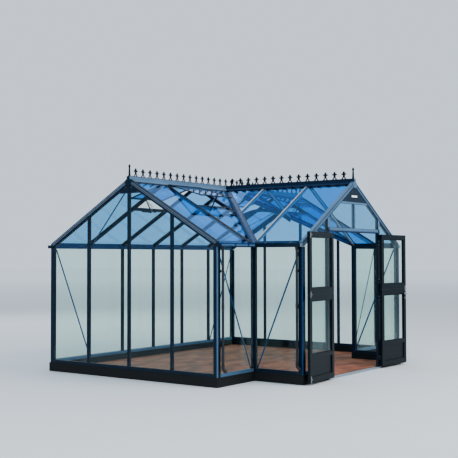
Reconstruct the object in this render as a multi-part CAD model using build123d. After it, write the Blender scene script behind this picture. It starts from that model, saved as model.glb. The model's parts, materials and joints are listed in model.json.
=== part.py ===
from build123d import *
import os
from math import atan, cos, degrees, hypot, radians, sin, tan

# Glass greenhouse: a long main house with a gabled wing at the front and double doors.
# Lengths in millimetres. X runs along the main ridge, the doors face -Y, Z is up.
# The origin is on the ground, below the middle of the main ridge.

# The plan is made of glazing bays; the wing is a little narrower than four of them
bay = 735
main_bays = 6
gable_bays = 4
wing_bays = 1
wing_half = 1400
ornaments_per_bay = 5

# Heights: the eave and the ridge are taken on the outer face of the roof
base_height = 120
eave_height = 1790
roof_rise = 860
cap_raise = 30
seat_drop = 60
gutter_drop = 15
lintel_rise = 156
collar_drop = 320
plate_drop = 195

# The plinth, the floor and the threshold
base_width = 60
base_reach = 12
floor_thickness = 25
threshold_height = 20

# Extruded aluminium sections
frame_depth = 44
lip = 4
glass = 4
groove = 12
bite = 9
cap_half = 15
web_half = 4
stem_half = 13
slot_half = 4
chamber_half = 8
slot_lip = 3
chamber_depth = 8
sill_rail = 40
post_leg = 18
jamb_width = 50
lintel_rail = 45
collar_rail = 26
rafter_drop = 64
rib = 4
rib_width = 4
rib_pitch = 22

# Ridge, valleys and gutters
ridge_half = 22
skirt_reach = 52
valley_half = 35
flange = 10
gutter_reach = 62
gutter_wall = 4
gutter_bead = 8
drip = 8

# Downpipes, each with a shoe at its foot
pipe_radius = 16
pipe_foot = 250
shoe_sides = 12
shoe_wall = 3
shoe_socket = 40
shoe_reach = 45

# Roof windows, hinged at the ridge and propped open
vent_length = 590
vent_angle = 14
vent_gap = 4
vent_rail = 30
vent_thickness = 12
stay_half = 6

# Stiffeners
brace_width = 20
brace_thickness = 4
tie_depth = 45
tie_rise = 125
tie_width = 30

# Ridge ornaments
cresting_thickness = 4
strip_height = 14
ornament_height = 101
ornament_foot = 50
ornament_stem = 14
ornament_arm = 56
ornament_head = 26
finial_height = 165
finial_sides = 8
finial_base = 15
finial_neck = 6
finial_bulb = 10
finial_tip = 1

# Door leaves
leaf_gap = 6
leaf_meeting_gap = 3
leaf_thickness = 36
leaf_bottom = 30
head_gap = 24
leaf_split = 1130
split_gap = 6
stile = 62
leaf_rail = 66
mid_rail = 75
kick_height = 335
kick_rail = 45
kick_thickness = 8
leaf_angle = 176

# Hinges and door fittings
pin_offset = 12
knuckle_radius = 9
knuckle_height = 36
pin_radius = 4
pin_clearance = 0.1
knuckle_gap = 0.3
hinge_plate = 4
hinge_reach = 34
hinge_inset = 120
handle_height = 1054
handle_width = 16
handle_thickness = 10
handle_length = 110
inner_handle_length = 70
handle_reach = 34
rose_radius = 16
rose_thickness = 4
bolt_length = 80
bolt_width = 12
bolt_thickness = 6
bolt_inset = 4

os.makedirs("parts", exist_ok=True)

# Worked out from the sizes above
half_long = bay * main_bays / 2
half_wide = bay * gable_bays / 2
front = half_wide + bay * wing_bays
ridge_height = eave_height + roof_rise
cap_height = ridge_height + cap_raise
eave_seat = eave_height - seat_drop
gutter_height = eave_height - gutter_drop
lintel_height = eave_height + lintel_rise
collar_height = ridge_height - collar_drop
plate_height = ridge_height - plate_drop
main_pitch = atan(roof_rise / half_wide)
wing_pitch = atan(roof_rise / wing_half)
pane_back = lip + glass
leg_end = frame_depth + post_leg
door_half = bay - jamb_width / 2
jamb_outer = bay + jamb_width / 2
sill_top = base_height + sill_rail
head_top = lintel_height + lintel_rail
skirt_out = ridge_half + skirt_reach
far = 2 * half_long
sky = 2 * ridge_height


def block(x0, x1, y0, y1, z0, z1):
    middle = Pos((x0 + x1) / 2, (y0 + y1) / 2, (z0 + z1) / 2)
    return middle * Box(abs(x1 - x0), abs(y1 - y0), abs(z1 - z0))


def outline(points):
    return make_face(Polyline(*points, close=True))


def upright(points, z0, z1):
    return extrude(Pos(0, 0, z0) * outline(points), z1 - z0)


def along_x(points, x0, x1):
    plane = Plane(origin=(x0, 0, 0), x_dir=(0, 1, 0), z_dir=(1, 0, 0))
    return extrude(plane * outline(points), x1 - x0)


def along_y(points, y0, y1):
    plane = Plane(origin=(0, y0, 0), x_dir=(-1, 0, 0), z_dir=(0, 1, 0))
    return extrude(plane * outline([(-x, z) for x, z in points]), y1 - y0)


def mirrored(points):
    """An outline closed by its own mirror image about the upright axis."""
    return points + [(-x, y) for x, y in reversed(points)]


def flip(solids):
    return [mirror(solid, about=Plane.YZ) for solid in solids]


def both(solids):
    return solids + flip(solids)


def save(name, solids):
    export_step(Compound(children=[Solid(s.solid().wrapped) for s in solids]), f"parts/{name}.step")


# Walls are drawn in their own plane: x along the wall, y inwards from its outer face, z up.
front_wall = Plane(origin=(0, -half_wide, 0), x_dir=(1, 0, 0), z_dir=(0, 0, 1))
back_wall = Plane(origin=(0, half_wide, 0), x_dir=(-1, 0, 0), z_dir=(0, 0, 1))
left_gable = Plane(origin=(-half_long, 0, 0), x_dir=(0, -1, 0), z_dir=(0, 0, 1))
wing_side = Plane(origin=(-wing_half, 0, 0), x_dir=(0, -1, 0), z_dir=(0, 0, 1))
wing_front = Plane(origin=(0, -front, 0), x_dir=(1, 0, 0), z_dir=(0, 0, 1))


def roof_plane(x, y, along, inwards, pitch):
    """A slope drawn the same way: x along the eave, y inwards from the outer face, z up the slope."""
    climb = (inwards[0] * cos(pitch), inwards[1] * cos(pitch), sin(pitch))
    return Plane(origin=(x, y, eave_height), x_dir=along, z_dir=climb)


front_roof = roof_plane(0, -half_wide, (1, 0, 0), (0, 1), main_pitch)
back_roof = roof_plane(0, half_wide, (-1, 0, 0), (0, -1), main_pitch)
wing_roof = roof_plane(-wing_half, 0, (0, -1, 0), (1, 0), wing_pitch)


def bar_section():
    """A glazing bar: outer cap, web between the panes, and a stem with a bolt slot."""
    slot_mouth = frame_depth - slot_lip
    slot_back = slot_mouth - chamber_depth
    return mirrored([
        (cap_half, 0), (cap_half, lip), (web_half, lip), (web_half, pane_back),
        (stem_half, pane_back), (stem_half, frame_depth), (slot_half, frame_depth),
        (slot_half, slot_mouth), (chamber_half, slot_mouth), (chamber_half, slot_back),
    ])


def bar(x, z0, z1):
    return Pos(x, 0, 0) * upright(bar_section(), z0, z1)


def rail(x0, x1, z0, z1):
    """A rail along a wall with a glazing groove in its upper edge."""
    return block(x0, x1, 0, frame_depth, z0, z1) - block(x0, x1, lip, pane_back, z1 - groove, z1)


def pane(x0, x1, z0, z1):
    return block(x0, x1, lip, pane_back, z0, z1)


# The plinth: beams that stand proud of the walls and butt at the corners
base_inner = base_width - base_reach
base_long = half_long + base_reach
base_wide = half_wide + base_reach
base_front = front + base_reach
base_wing = wing_half + base_reach


def base_beam(x0, x1, y0, y1):
    return block(x0, x1, y0, y1, 0, base_height)


base_side = base_beam(-base_long, -half_long + base_inner, -base_wide, base_wide)
base_wing_side = base_beam(-base_wing, -wing_half + base_inner, -base_front, -base_wide)
base_back = base_beam(-half_long + base_inner, half_long - base_inner, half_wide - base_inner, base_wide)
base_corner = base_beam(-half_long + base_inner, -wing_half + base_inner, -base_wide, -half_wide + base_inner)
base_stub = base_beam(-wing_half + base_inner, -jamb_outer, -base_front, -front + base_inner)
save("base_sides", both([base_side, base_wing_side]))
save("base_fronts", [base_back] + both([base_corner, base_stub]))

# The tiled floor lies inside the plinth, and a flat threshold closes it at the doors
floor_long = half_long - base_inner
floor_wide = half_wide - base_inner
floor_wing = wing_half - base_inner
floor_main_part = block(-floor_long, floor_long, -floor_wide, floor_wide, 0, floor_thickness)
floor_wing_part = block(-floor_wing, floor_wing, -front + base_inner, -floor_wide, 0, floor_thickness)
threshold = block(-jamb_outer, jamb_outer, -base_front, -front + base_inner, 0, threshold_height)
save("floor", [floor_main_part + floor_wing_part])
save("door_threshold", [threshold])

# Sill rails on the plinth, from corner post to corner post
sill_gable = left_gable * rail(-half_wide + leg_end, half_wide - leg_end, base_height, sill_top)
sill_wing = wing_side * rail(half_wide + post_leg, front - leg_end, base_height, sill_top)
sill_back = back_wall * rail(-half_long + leg_end, half_long - leg_end, base_height, sill_top)
sill_corner = front_wall * rail(-half_long + leg_end, -wing_half - post_leg, base_height, sill_top)
sill_stub = wing_front * rail(-wing_half + leg_end, -jamb_outer, base_height, sill_top)
save("sill_rails_sides", both([sill_gable, sill_wing]))
save("sill_rails_fronts", [sill_back] + both([sill_corner, sill_stub]))

# Corner posts: a square tube with a grooved leg along each wall
outer_leg = [(leg_end, 0), (leg_end, lip), (leg_end - groove, lip), (leg_end - groove, pane_back),
             (leg_end, pane_back), (leg_end, frame_depth)]
outer_section = [(0, 0)] + outer_leg + [(frame_depth, frame_depth)] + [(y, x) for x, y in reversed(outer_leg)]
inner_leg = [(-post_leg, frame_depth), (-post_leg, pane_back), (groove - post_leg, pane_back),
             (groove - post_leg, lip), (-post_leg, lip), (-post_leg, 0)]
inner_section = [(frame_depth, frame_depth)] + inner_leg + [(0, 0)] + [(y, x) for x, y in reversed(inner_leg)]
corner_post = upright(outer_section, base_height, eave_seat)
front_post = Pos(-half_long, -half_wide, 0) * corner_post
back_post = mirror(front_post, about=Plane.XZ)
wing_post = Pos(-wing_half, -front, 0) * corner_post
inner_post = Pos(-wing_half, -half_wide, 0) * upright(inner_section, base_height, eave_seat)
save("outer_corner_posts", both([front_post, back_post, wing_post]))
save("inner_corner_posts", both([inner_post]))


def under_rafters(half, pitch, depth):
    """The part of a gable wall that lies below its rafters, as a slab drawn in the wall's plane."""
    shoulder = ridge_height - ridge_half * tan(pitch) - depth / cos(pitch)
    peak = ridge_height - ridge_half * tan(pitch) - frame_depth / cos(pitch)
    foot = eave_height - depth / cos(pitch)
    points = [(half, 0), (half, foot), (ridge_half, shoulder), (ridge_half, peak)]
    return along_y(mirrored(points), 0, frame_depth)


gable_space = under_rafters(half_wide, main_pitch, rafter_drop)
gable_glass_space = under_rafters(half_wide, main_pitch, rafter_drop - bite)
wing_space = under_rafters(wing_half, wing_pitch, rafter_drop)
wing_glass_space = under_rafters(wing_half, wing_pitch, rafter_drop - bite)

# Glazing bars in the walls, one at each bay line
back_bars = [back_wall * bar(bay * i - half_long, sill_top, eave_seat) for i in range(1, main_bays)]
gable_lines = [bay * i - half_wide for i in range(1, gable_bays)]
gable_bars = [left_gable * (bar(x, sill_top, ridge_height) & gable_space) for x in gable_lines]
save("back_wall_bars", back_bars)
save("gable_bars", both(gable_bars))

# The doorway: two jambs from the threshold to the rafters, a lintel, and the gable above it
jamb_box = block(-jamb_outer, -door_half, 0, frame_depth, threshold_height, ridge_height)
jamb_groove = block(-jamb_outer, groove - jamb_outer, lip, pane_back, base_height, ridge_height)
head_groove = block(-door_half - groove, -door_half, lip, pane_back, head_top - groove, ridge_height)
jamb_left = wing_front * ((jamb_box - jamb_groove - head_groove) & wing_space)
lintel = wing_front * (rail(-door_half, door_half, lintel_height, head_top) & wing_space)
collar_top = collar_height + collar_rail
seat_depth = groove - lip
collar_box = block(-bay, bay, 0, frame_depth, collar_height, collar_top)
collar_notch = block(-bay, bay, lip, pane_back, collar_height, collar_height + seat_depth)
collar_groove = block(-bay, bay, lip, pane_back, collar_top - seat_depth, collar_top)
collar = wing_front * ((collar_box - collar_notch - collar_groove) & wing_space)
gable_post = wing_front * bar(0, head_top, collar_height)

# Hinges: each leaf half hangs on two knuckles, with the pin fixed in the leaf's knuckle
pin_x = door_half - leaf_gap / 2
pin_y = -front - pin_offset
leaf_edge = door_half - leaf_gap
leaf_top = lintel_height - head_gap
half_spans = [(leaf_bottom, leaf_split - split_gap / 2), (leaf_split + split_gap / 2, leaf_top)]
hinge_heights = [z for low, high in half_spans for z in (low + hinge_inset, high - hinge_inset)]


def on_pin(radius, z0, z1):
    return Pos(pin_x, pin_y, (z0 + z1) / 2) * Cylinder(radius, z1 - z0)


def on_face(x0, x1, z0, z1):
    """A plate that lies on the outer face of the closed door wall."""
    return block(x0, x1, -front - hinge_plate, -front, z0, z1)


def jamb_hinge(z):
    low, high = z - knuckle_height / 2, z
    plate = on_face(door_half, door_half + hinge_reach, low, high)
    neck = block(pin_x, door_half + hinge_plate, pin_y, -front, low, high)
    return plate + neck + on_pin(knuckle_radius, low, high) - on_pin(pin_radius + pin_clearance, low, high)


def leaf_hinge(z):
    low, high = z + knuckle_gap, z + knuckle_height / 2
    plate = on_face(leaf_edge - hinge_reach, leaf_edge, low, high)
    neck = block(leaf_edge - hinge_plate, pin_x, pin_y, -front, low, high)
    return plate + neck + on_pin(knuckle_radius, low, high) + on_pin(pin_radius, z - knuckle_height / 2, low)


jamb_right = mirror(jamb_left, about=Plane.YZ)
for height in hinge_heights:
    jamb_right += jamb_hinge(height)
save("door_jambs", both([jamb_right]))
save("door_head", [lintel + gable_post + collar])

# Door leaves, drawn closed on the right-hand side of the doorway and then swung open
pin_axis = Axis((pin_x, pin_y, 0), (0, 0, 1))
leaf_back = -front + leaf_thickness
leaf_middle = -front + leaf_thickness / 2
light_x0 = leaf_meeting_gap + stile
light_x1 = leaf_edge - stile
lower_light = (kick_height + kick_rail, half_spans[0][1] - mid_rail)
upper_light = (half_spans[1][0] + mid_rail, leaf_top - leaf_rail)


def swing(solid):
    return solid.rotate(pin_axis, leaf_angle)


def leaf_half(low, high):
    return block(leaf_meeting_gap, leaf_edge, -front, leaf_back, low, high)


def leaf_pane(low, high):
    """A pane, let into the frame on all four sides of its light."""
    y0 = leaf_middle - glass / 2
    return block(light_x0 - groove, light_x1 + groove, y0, y0 + glass, low - groove, high + groove)


def light(low, high):
    return block(light_x0, light_x1, -front, leaf_back, low, high) + leaf_pane(low, high)


kick_space = block(light_x0, light_x1, -front, leaf_back, leaf_bottom + leaf_rail, kick_height)
kick_y0, kick_y1 = leaf_middle - kick_thickness / 2, leaf_middle + kick_thickness / 2
kick_panel = block(light_x0, light_x1, kick_y0, kick_y1, leaf_bottom + leaf_rail, kick_height)
lower_half = leaf_half(*half_spans[0]) - light(*lower_light) - kick_space + kick_panel
upper_half = leaf_half(*half_spans[1]) - light(*upper_light)
for height in hinge_heights[:2]:
    lower_half += leaf_hinge(height)
for height in hinge_heights[2:]:
    upper_half += leaf_hinge(height)
leaf_frame = [swing(lower_half), swing(upper_half)]
leaf_glass = [swing(leaf_pane(*lower_light)), swing(leaf_pane(*upper_light))]
save("right_leaf_frame", leaf_frame)
save("left_leaf_frame", flip(leaf_frame))
save("right_leaf_glass", leaf_glass)
save("left_leaf_glass", flip(leaf_glass))

# The lever handles and the catch on the right leaf, and the bolts on the left one.
# Catch and bolts are on the inner face, which is the one seen while the leaves are folded back.
handle_x = leaf_meeting_gap + stile / 2


def on_back(x0, x1, z0, z1):
    """A plate that lies on the inner face of the closed leaf."""
    return block(x0, x1, leaf_back, leaf_back + bolt_thickness, z0, z1)


def lever(face, out, length):
    """A handle with its rose on one face of the leaf, drawn towards the hinges."""
    rose = Pos(handle_x, face + out * rose_thickness / 2, handle_height) * Rot(90, 0, 0)
    rose = rose * Cylinder(rose_radius, rose_thickness)
    end = face + out * handle_reach
    path = Polyline((handle_x, face, handle_height), (handle_x, end, handle_height),
                    (handle_x + length, end, handle_height))
    start = Plane(path @ 0, x_dir=(0, 0, 1), z_dir=(0, out, 0))
    return rose + sweep(start * Rectangle(handle_width, handle_thickness), path=path, transition=Transition.RIGHT)


handles = [lever(-front, -1, handle_length), lever(leaf_back, 1, inner_handle_length)]
catch_low = leaf_split - bolt_length / 2
catch = on_back(handle_x - bolt_width, handle_x + bolt_width, catch_low, catch_low + bolt_length)
save("right_leaf_fittings", [swing(piece) for piece in handles + [catch]])

bolt_x = leaf_meeting_gap + bolt_width
bolt_lows = [leaf_bottom + bolt_inset, catch_low, leaf_top - bolt_inset - bolt_length]
bolts = [on_back(bolt_x, bolt_x + bolt_width, low, low + bolt_length) for low in bolt_lows]
save("left_leaf_fittings", flip([swing(bolt) for bolt in bolts]))


# Gutters: the eave beam that carries the roof and the channel outside it are one section
def gutter(x0, x1, pitch):
    """A gutter along a wall that is drawn in its own plane."""
    beam_top = eave_height - pane_back / cos(pitch)
    bead_low = gutter_height - gutter_wall
    section = [
        (frame_depth, eave_seat), (pane_back, eave_seat), (pane_back, eave_seat + groove),
        (lip, eave_seat + groove), (lip, eave_seat), (-gutter_reach, eave_seat),
        (-gutter_reach, gutter_height), (gutter_bead - gutter_reach, gutter_height),
        (gutter_bead - gutter_reach, bead_low), (gutter_wall - gutter_reach, bead_low),
        (gutter_wall - gutter_reach, eave_seat + gutter_wall), (0, eave_seat + gutter_wall),
        (0, beam_top), (frame_depth, beam_top + frame_depth * tan(pitch)),
    ]
    return along_x(section, x0, x1)


def end_cap(x0, x1):
    return block(x0, x1, -gutter_reach, 0, eave_seat, gutter_height - gutter_wall)


main_side = Pos(-wing_half, -half_wide, 0) * upright([(-far, -far), (far, far), (-far, far)], 0, sky)
rafter_seat = block(-half_long, -half_long + frame_depth, -half_wide, half_wide, 0, sky)
wing_seat = block(-wing_half, wing_half, -front, -front + frame_depth, 0, sky)
caps = [end_cap(-half_long, -half_long + gutter_wall), end_cap(half_long - gutter_wall, half_long)]
back_gutter = back_wall * (gutter(-half_long, half_long, main_pitch) + caps)
back_gutter = back_gutter - rafter_seat - mirror(rafter_seat, about=Plane.YZ)
front_gutter = front_wall * (gutter(-half_long, 0, main_pitch) + caps[0])
front_gutter = (front_gutter - rafter_seat) & main_side
wing_gutter = wing_side * (gutter(0, front, wing_pitch) + end_cap(front - gutter_wall, front))
wing_gutter = wing_gutter - wing_seat - main_side
save("back_gutter", [back_gutter])
save("front_gutters", both([front_gutter]))
save("wing_gutters", both([wing_gutter]))

# Gable rafters: ribbed outside, grooved for the roof glass and for the gable glass
rafter_section = [
    (0, -lip), (frame_depth, -lip), (frame_depth, lip), (frame_depth - groove, lip),
    (frame_depth - groove, pane_back), (frame_depth, pane_back), (frame_depth, rafter_drop),
    (pane_back, rafter_drop), (pane_back, rafter_drop - groove), (lip, rafter_drop - groove),
    (lip, rafter_drop), (0, rafter_drop),
]
for line in (rafter_drop - groove, rafter_drop - groove - rib_pitch, rafter_drop - groove - 2 * rib_pitch):
    top, low = line - rib_width / 2, line + rib_width / 2
    rafter_section += [(0, low), (-rib, low), (-rib, top), (0, top)]
rafter_bar = upright(rafter_section, -far, far)
left_area = block(-half_long - rib, -half_long + frame_depth, -half_wide, -ridge_half, eave_seat, sky)
left_rafter = (front_roof * (Pos(-half_long, 0, 0) * rafter_bar)) & left_area
wing_area = block(-wing_half, -ridge_half, -front - rib, -front + frame_depth, eave_seat, sky)
wing_rafter = (wing_roof * (Pos(front, 0, 0) * mirror(rafter_bar, about=Plane.YZ))) & wing_area
left_rafters = [left_rafter, mirror(left_rafter, about=Plane.XZ)]
save("left_gable_rafters", left_rafters)
save("right_gable_rafters", flip(left_rafters))
save("wing_gable_rafters", both([wing_rafter]))


# Ridges: a raised box with a skirt down each slope, mitred where the two roofs meet
def ridge_box(pitch):
    core_bottom = ridge_height - ridge_half * tan(pitch) - frame_depth / cos(pitch)
    return mirrored([(ridge_half, cap_height), (ridge_half, core_bottom)])


def ridge_skirt(pitch, side):
    """The section of one skirt, on the positive or the negative side of the ridge."""
    inner = ridge_height - ridge_half * tan(pitch)
    outer = ridge_height - skirt_out * tan(pitch)
    thickness = lip / cos(pitch)
    points = [(ridge_half, inner), (skirt_out, outer)]
    points += [(x, z + thickness) for x, z in reversed(points)]
    return [(side * x, z) for x, z in points]


skirt_start = -half_long + frame_depth
wing_skirt_start = -front + frame_depth
wedge_x = far * wing_half / half_wide
wing_wedge = upright([(0, 0), (-wedge_x, -far), (wedge_x, -far)], 0, sky)
wing_core = block(-ridge_half, ridge_half, -far, 0, 0, sky)
front_skirt = along_x(ridge_skirt(main_pitch, -1), skirt_start, -skirt_start) - wing_wedge - wing_core
back_skirt = along_x(ridge_skirt(main_pitch, 1), skirt_start, -skirt_start)
ridge_main = along_x(ridge_box(main_pitch), -half_long, half_long) + front_skirt + back_skirt
wing_skirts = [along_y(ridge_skirt(wing_pitch, side), wing_skirt_start, -ridge_half) for side in (-1, 1)]
ridge_wing = along_y(ridge_box(wing_pitch), -front, -ridge_half) + [skirt & wing_wedge for skirt in wing_skirts]
save("ridge_main", [ridge_main])
save("ridge_wing", [ridge_wing])

# Valleys: a trough between the slopes, with a stem below that stops at the eave beams.
# The two roofs fall towards the valley line at different rates, as their pitches differ.
plan_length = hypot(half_wide, wing_half)
valley_x = valley_half * plan_length / half_wide
valley_y = valley_half * plan_length / wing_half
trough_edge = valley_half - flange
trough_depth = pane_back / 2
main_fall = tan(main_pitch) * wing_half / plan_length
wing_fall = tan(wing_pitch) * half_wide / plan_length
side_falls = {1: main_fall, -1: wing_fall}
side_pitches = {1: main_pitch, -1: wing_pitch}


def skin_side(side):
    """Half of the trough's section: +1 is the side of the main roof, -1 the side of the wing roof."""
    fall = side_falls[side]
    depth = pane_back / cos(side_pitches[side])
    lift = trough_edge * fall
    edge = valley_half * fall
    inner = [(trough_edge, lift - trough_depth), (trough_edge, lift)]
    outer = [(valley_half, edge), (valley_half, edge - depth)]
    return [(side * x, z) for x, z in inner + outer]


def stem_side(side):
    edge = valley_half * side_falls[side]
    top = edge - pane_back / cos(side_pitches[side])
    low = edge - frame_depth / cos(side_pitches[side])
    return [(side * valley_half, top), (side * valley_half, low), (side * trough_edge, low - flange)]


trough_bottom = (0, -lip / cos(main_pitch))
skin_bottom = (0, -pane_back / cos(main_pitch))
skin_section = [trough_bottom] + skin_side(1) + [skin_bottom] + skin_side(-1)[::-1]
stem_section = [skin_bottom] + stem_side(1) + stem_side(-1)[::-1]
valley_plane = Plane(origin=(-wing_half, -half_wide, eave_height), x_dir=(-half_wide, wing_half, 0),
                     z_dir=(wing_half, half_wide, 0))
valley_run = Vector(wing_half, half_wide, roof_rise)


def valley_bar(section, inset):
    """A bar up the valley line, cut square to the two walls at its foot and to the ridges at its head."""
    face = valley_plane * outline(section)
    whole = extrude(face, plan_length, dir=valley_run) + extrude(face, bay, dir=-valley_run)
    return whole & block(inset - wing_half, -ridge_half, inset - half_wide, -ridge_half, 0, sky)


valley = valley_bar(skin_section, -drip) + valley_bar(stem_section, frame_depth)
save("valleys", both([valley]))


# Roof bars stand at the bay lines and are cut by the valley where they meet it
def beside_valley(y):
    """X of the edge of the left valley on the main roof, at a place along Y."""
    return y * wing_half / half_wide - valley_x


def below_valley(x):
    """Y of the edge of the left valley on the wing roof, at a place along X."""
    return x * half_wide / wing_half - valley_y


def trim_main(solid, inset):
    """Keep what lies between the eave and the ridge, on the main side of the valley."""
    eave = inset - half_wide
    area = [(-half_long, eave), (beside_valley(eave), eave), (beside_valley(-ridge_half), -ridge_half),
            (-half_long, -ridge_half)]
    return solid & upright(area, 0, sky)


def trim_wing(solid, inset):
    eave = inset - wing_half
    area = [(eave, -front), (eave, below_valley(eave)), (-ridge_half, below_valley(-ridge_half)),
            (-ridge_half, -front)]
    return solid & upright(area, 0, sky)


def trim_back(solid, inset):
    return solid & block(-half_long, half_long, ridge_half, half_wide - inset, 0, sky)


cap_space = block(-far, far, -frame_depth, pane_back, -far, far)
stem_space = block(-far, far, pane_back, 2 * frame_depth, -far, far)


def seated_bar(plane, x, trim):
    """A roof bar whose cap runs on to the gutter, while its stem stops at the eave beam."""
    whole = bar(x, -far, far)
    return trim(plane * (whole & cap_space), -drip) + trim(plane * (whole & stem_space), frame_depth)


roof_lines = [bay * i - half_long for i in range(1, main_bays)]
save("back_slope_bars", [seated_bar(back_roof, x, trim_back) for x in roof_lines])
save("front_slope_bars", both([seated_bar(front_roof, x, trim_main) for x in roof_lines[:2]]))
save("wing_slope_bars", both([seated_bar(wing_roof, x, trim_wing) for x in (bay, 2 * bay)]))

# Roof windows: a grooved ring over the bars of the bay next to the middle one
vent_middle = -vent_thickness / 2
vent_top = (half_wide - skirt_out) / cos(main_pitch) - vent_thickness * sin(radians(vent_angle)) - knuckle_gap
vent_low = vent_top - vent_length
vent_x0, vent_x1 = roof_lines[0] + vent_gap, roof_lines[1] - vent_gap
vent_axis = Axis((0, vent_middle, vent_top), (1, 0, 0))


def vent_slab(inset, y0, y1):
    """The window's slab with its edges drawn in on all four sides."""
    return block(vent_x0 + inset, vent_x1 - inset, y0, y1, vent_low + inset, vent_top - inset)


def vent_height(z):
    """Where the underside of the open window is, measured inwards from the roof plane."""
    opening = radians(vent_angle)
    return vent_middle - ((vent_top - z) * sin(opening) + vent_middle) / cos(opening)


vent_pane = vent_slab(vent_rail - groove, vent_middle - glass / 2, vent_middle + glass / 2)
vent_ring = vent_slab(0, -vent_thickness, 0) - vent_slab(vent_rail, -vent_thickness, 0) - vent_pane
sill_ends = (vent_x0 - vent_gap + stem_half, vent_x1 + vent_gap - stem_half)
vent_sill = block(*sill_ends, pane_back, frame_depth, vent_low, vent_low + vent_rail)
stay_low = vent_low + vent_rail / 2 - stay_half
stay_high = stay_low + 2 * stay_half
stay_x = (vent_x0 + vent_x1) / 2
stay_foot = [(pane_back, stay_low), (pane_back, stay_high)]
stay_head = [(vent_height(stay_high), stay_high), (vent_height(stay_low), stay_low)]
stay = along_x(stay_foot + stay_head, stay_x - stay_half, stay_x + stay_half)


def four(solid):
    """Copies of a left front piece on both slopes and both halves of the main roof."""
    front_left = front_roof * solid
    return both([trim_main(front_left, -drip), mirror(front_left, about=Plane.XZ)])


save("roof_window_frames", four(vent_ring.rotate(vent_axis, -vent_angle)))
save("roof_window_glass", four(vent_pane.rotate(vent_axis, -vent_angle)))
save("roof_window_props", four(vent_sill + stay))

# Wall glass: one pane to a bay, held in the grooves of bars, rails and posts
pane_low = sill_top - bite
pane_high = eave_seat + bite


def bay_panes(start, bays, high):
    """A row of panes between two corner posts, parted by the webs of the bars."""
    lines = [start + bay * i for i in range(bays + 1)]
    lefts = [start + leg_end - bite] + [x + web_half for x in lines[1:-1]]
    rights = [x - web_half for x in lines[1:-1]] + [lines[-1] - leg_end + bite]
    return [pane(left, right, pane_low, high) for left, right in zip(lefts, rights)]


tip = block(-bay, bay, lip, pane_back, plate_height, ridge_height)
gable_row = bay_panes(-half_wide, gable_bays, ridge_height)
gable_panes = [left_gable * ((p & gable_glass_space) - tip) for p in gable_row]
corner_pane = front_wall * pane(-half_long + leg_end - bite, -wing_half - post_leg + bite, pane_low, pane_high)
side_pane = wing_side * pane(half_wide + post_leg - bite, front - leg_end + bite, pane_low, pane_high)
stub_pane = pane(-wing_half + leg_end - bite, bite - jamb_outer, pane_low, ridge_height)
head_pane = pane(-door_half - bite, -web_half, head_top - bite, collar_height + bite - lip)
stub_pane = wing_front * (stub_pane & wing_glass_space)
head_pane = wing_front * (head_pane & wing_glass_space)
save("back_wall_glass", [back_wall * p for p in bay_panes(-half_long, main_bays, pane_high)])
save("left_gable_glass", gable_panes)
save("right_gable_glass", flip(gable_panes))
save("front_wall_glass", both([corner_pane]))
save("wing_side_glass", both([side_pane]))
save("wing_front_glass", both([stub_pane, head_pane]))

# Apex plates close the tip of each gable, parted by the middle bar of the main gables
plate = tip & gable_glass_space
plate_sides = [block(side * web_half, side * bay, 0, frame_depth, 0, sky) for side in (-1, 1)]
plate_halves = [left_gable * (plate & side) for side in plate_sides]
wing_plate = wing_front * (pane(-bay, bay, collar_top + lip - bite, ridge_height) & wing_glass_space)
save("apex_plates", both(plate_halves) + [wing_plate])

# Roof glass, one pane to a bay
roof_edge = frame_depth - bite


def roof_pane(x0, x1, z1):
    return pane(x0, x1, -far, z1)


main_panes = [
    roof_pane(roof_edge - half_long, roof_lines[0] - web_half, far),
    roof_pane(roof_lines[0] + web_half, roof_lines[1] - web_half, vent_low + bite),
    roof_pane(roof_lines[1] + web_half, -web_half, far),
]
middle_pane = roof_pane(roof_lines[1] + web_half, 0, far)
front_panes = [trim_main(front_roof * p, -drip) for p in main_panes[:2] + [middle_pane]]
back_panes = [trim_back(mirror(front_roof * p, about=Plane.XZ), -drip) for p in main_panes]
wing_lines = [(0, bay - web_half), (bay + web_half, 2 * bay - web_half), (2 * bay + web_half, front - roof_edge)]
wing_panes = [trim_wing(wing_roof * roof_pane(x0, x1, far), -drip) for x0, x1 in wing_lines]
save("front_slope_glass", both(front_panes))
save("back_slope_glass", both(back_panes))
save("wing_slope_glass", both(wing_panes))

# An arched tie joins the valleys under the wing ridge
tie_half = bay * wing_half / half_wide - valley_x / 2 - flange
tie_seat = eave_height + (wing_half - tie_half) * tan(wing_pitch) - frame_depth / cos(wing_pitch)
tie_top = [(-tie_half, tie_seat), (0, tie_seat + tie_rise), (tie_half, tie_seat)]
tie_low = [(x, z - tie_depth) for x, z in tie_top]
tie_ends = [Line(tie_top[2], tie_low[2]), Line(tie_low[0], tie_top[0])]
tie_face = make_face([ThreePointArc(*tie_top), tie_ends[0], ThreePointArc(*tie_low), tie_ends[1]])
tie_plane = Plane(origin=(0, tie_width / 2 - bay, 0), x_dir=(1, 0, 0), z_dir=(0, -1, 0))
tie = extrude(tie_plane * tie_face, tie_width)
save("arched_tie", [tie - valley - mirror(valley, about=Plane.YZ)])


# Flat diagonal braces on the inner faces of the end bays
def brace(x0, z0, x1, z1):
    length = hypot(x1 - x0, z1 - z0)
    angle = degrees(atan((z1 - z0) / (x1 - x0)))
    half = brace_width / 2
    strip = block(-length / 2, length / 2, frame_depth, frame_depth + brace_thickness, -half, half)
    return Pos((x0 + x1) / 2, 0, (z0 + z1) / 2) * Rot(0, -angle, 0) * strip


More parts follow.
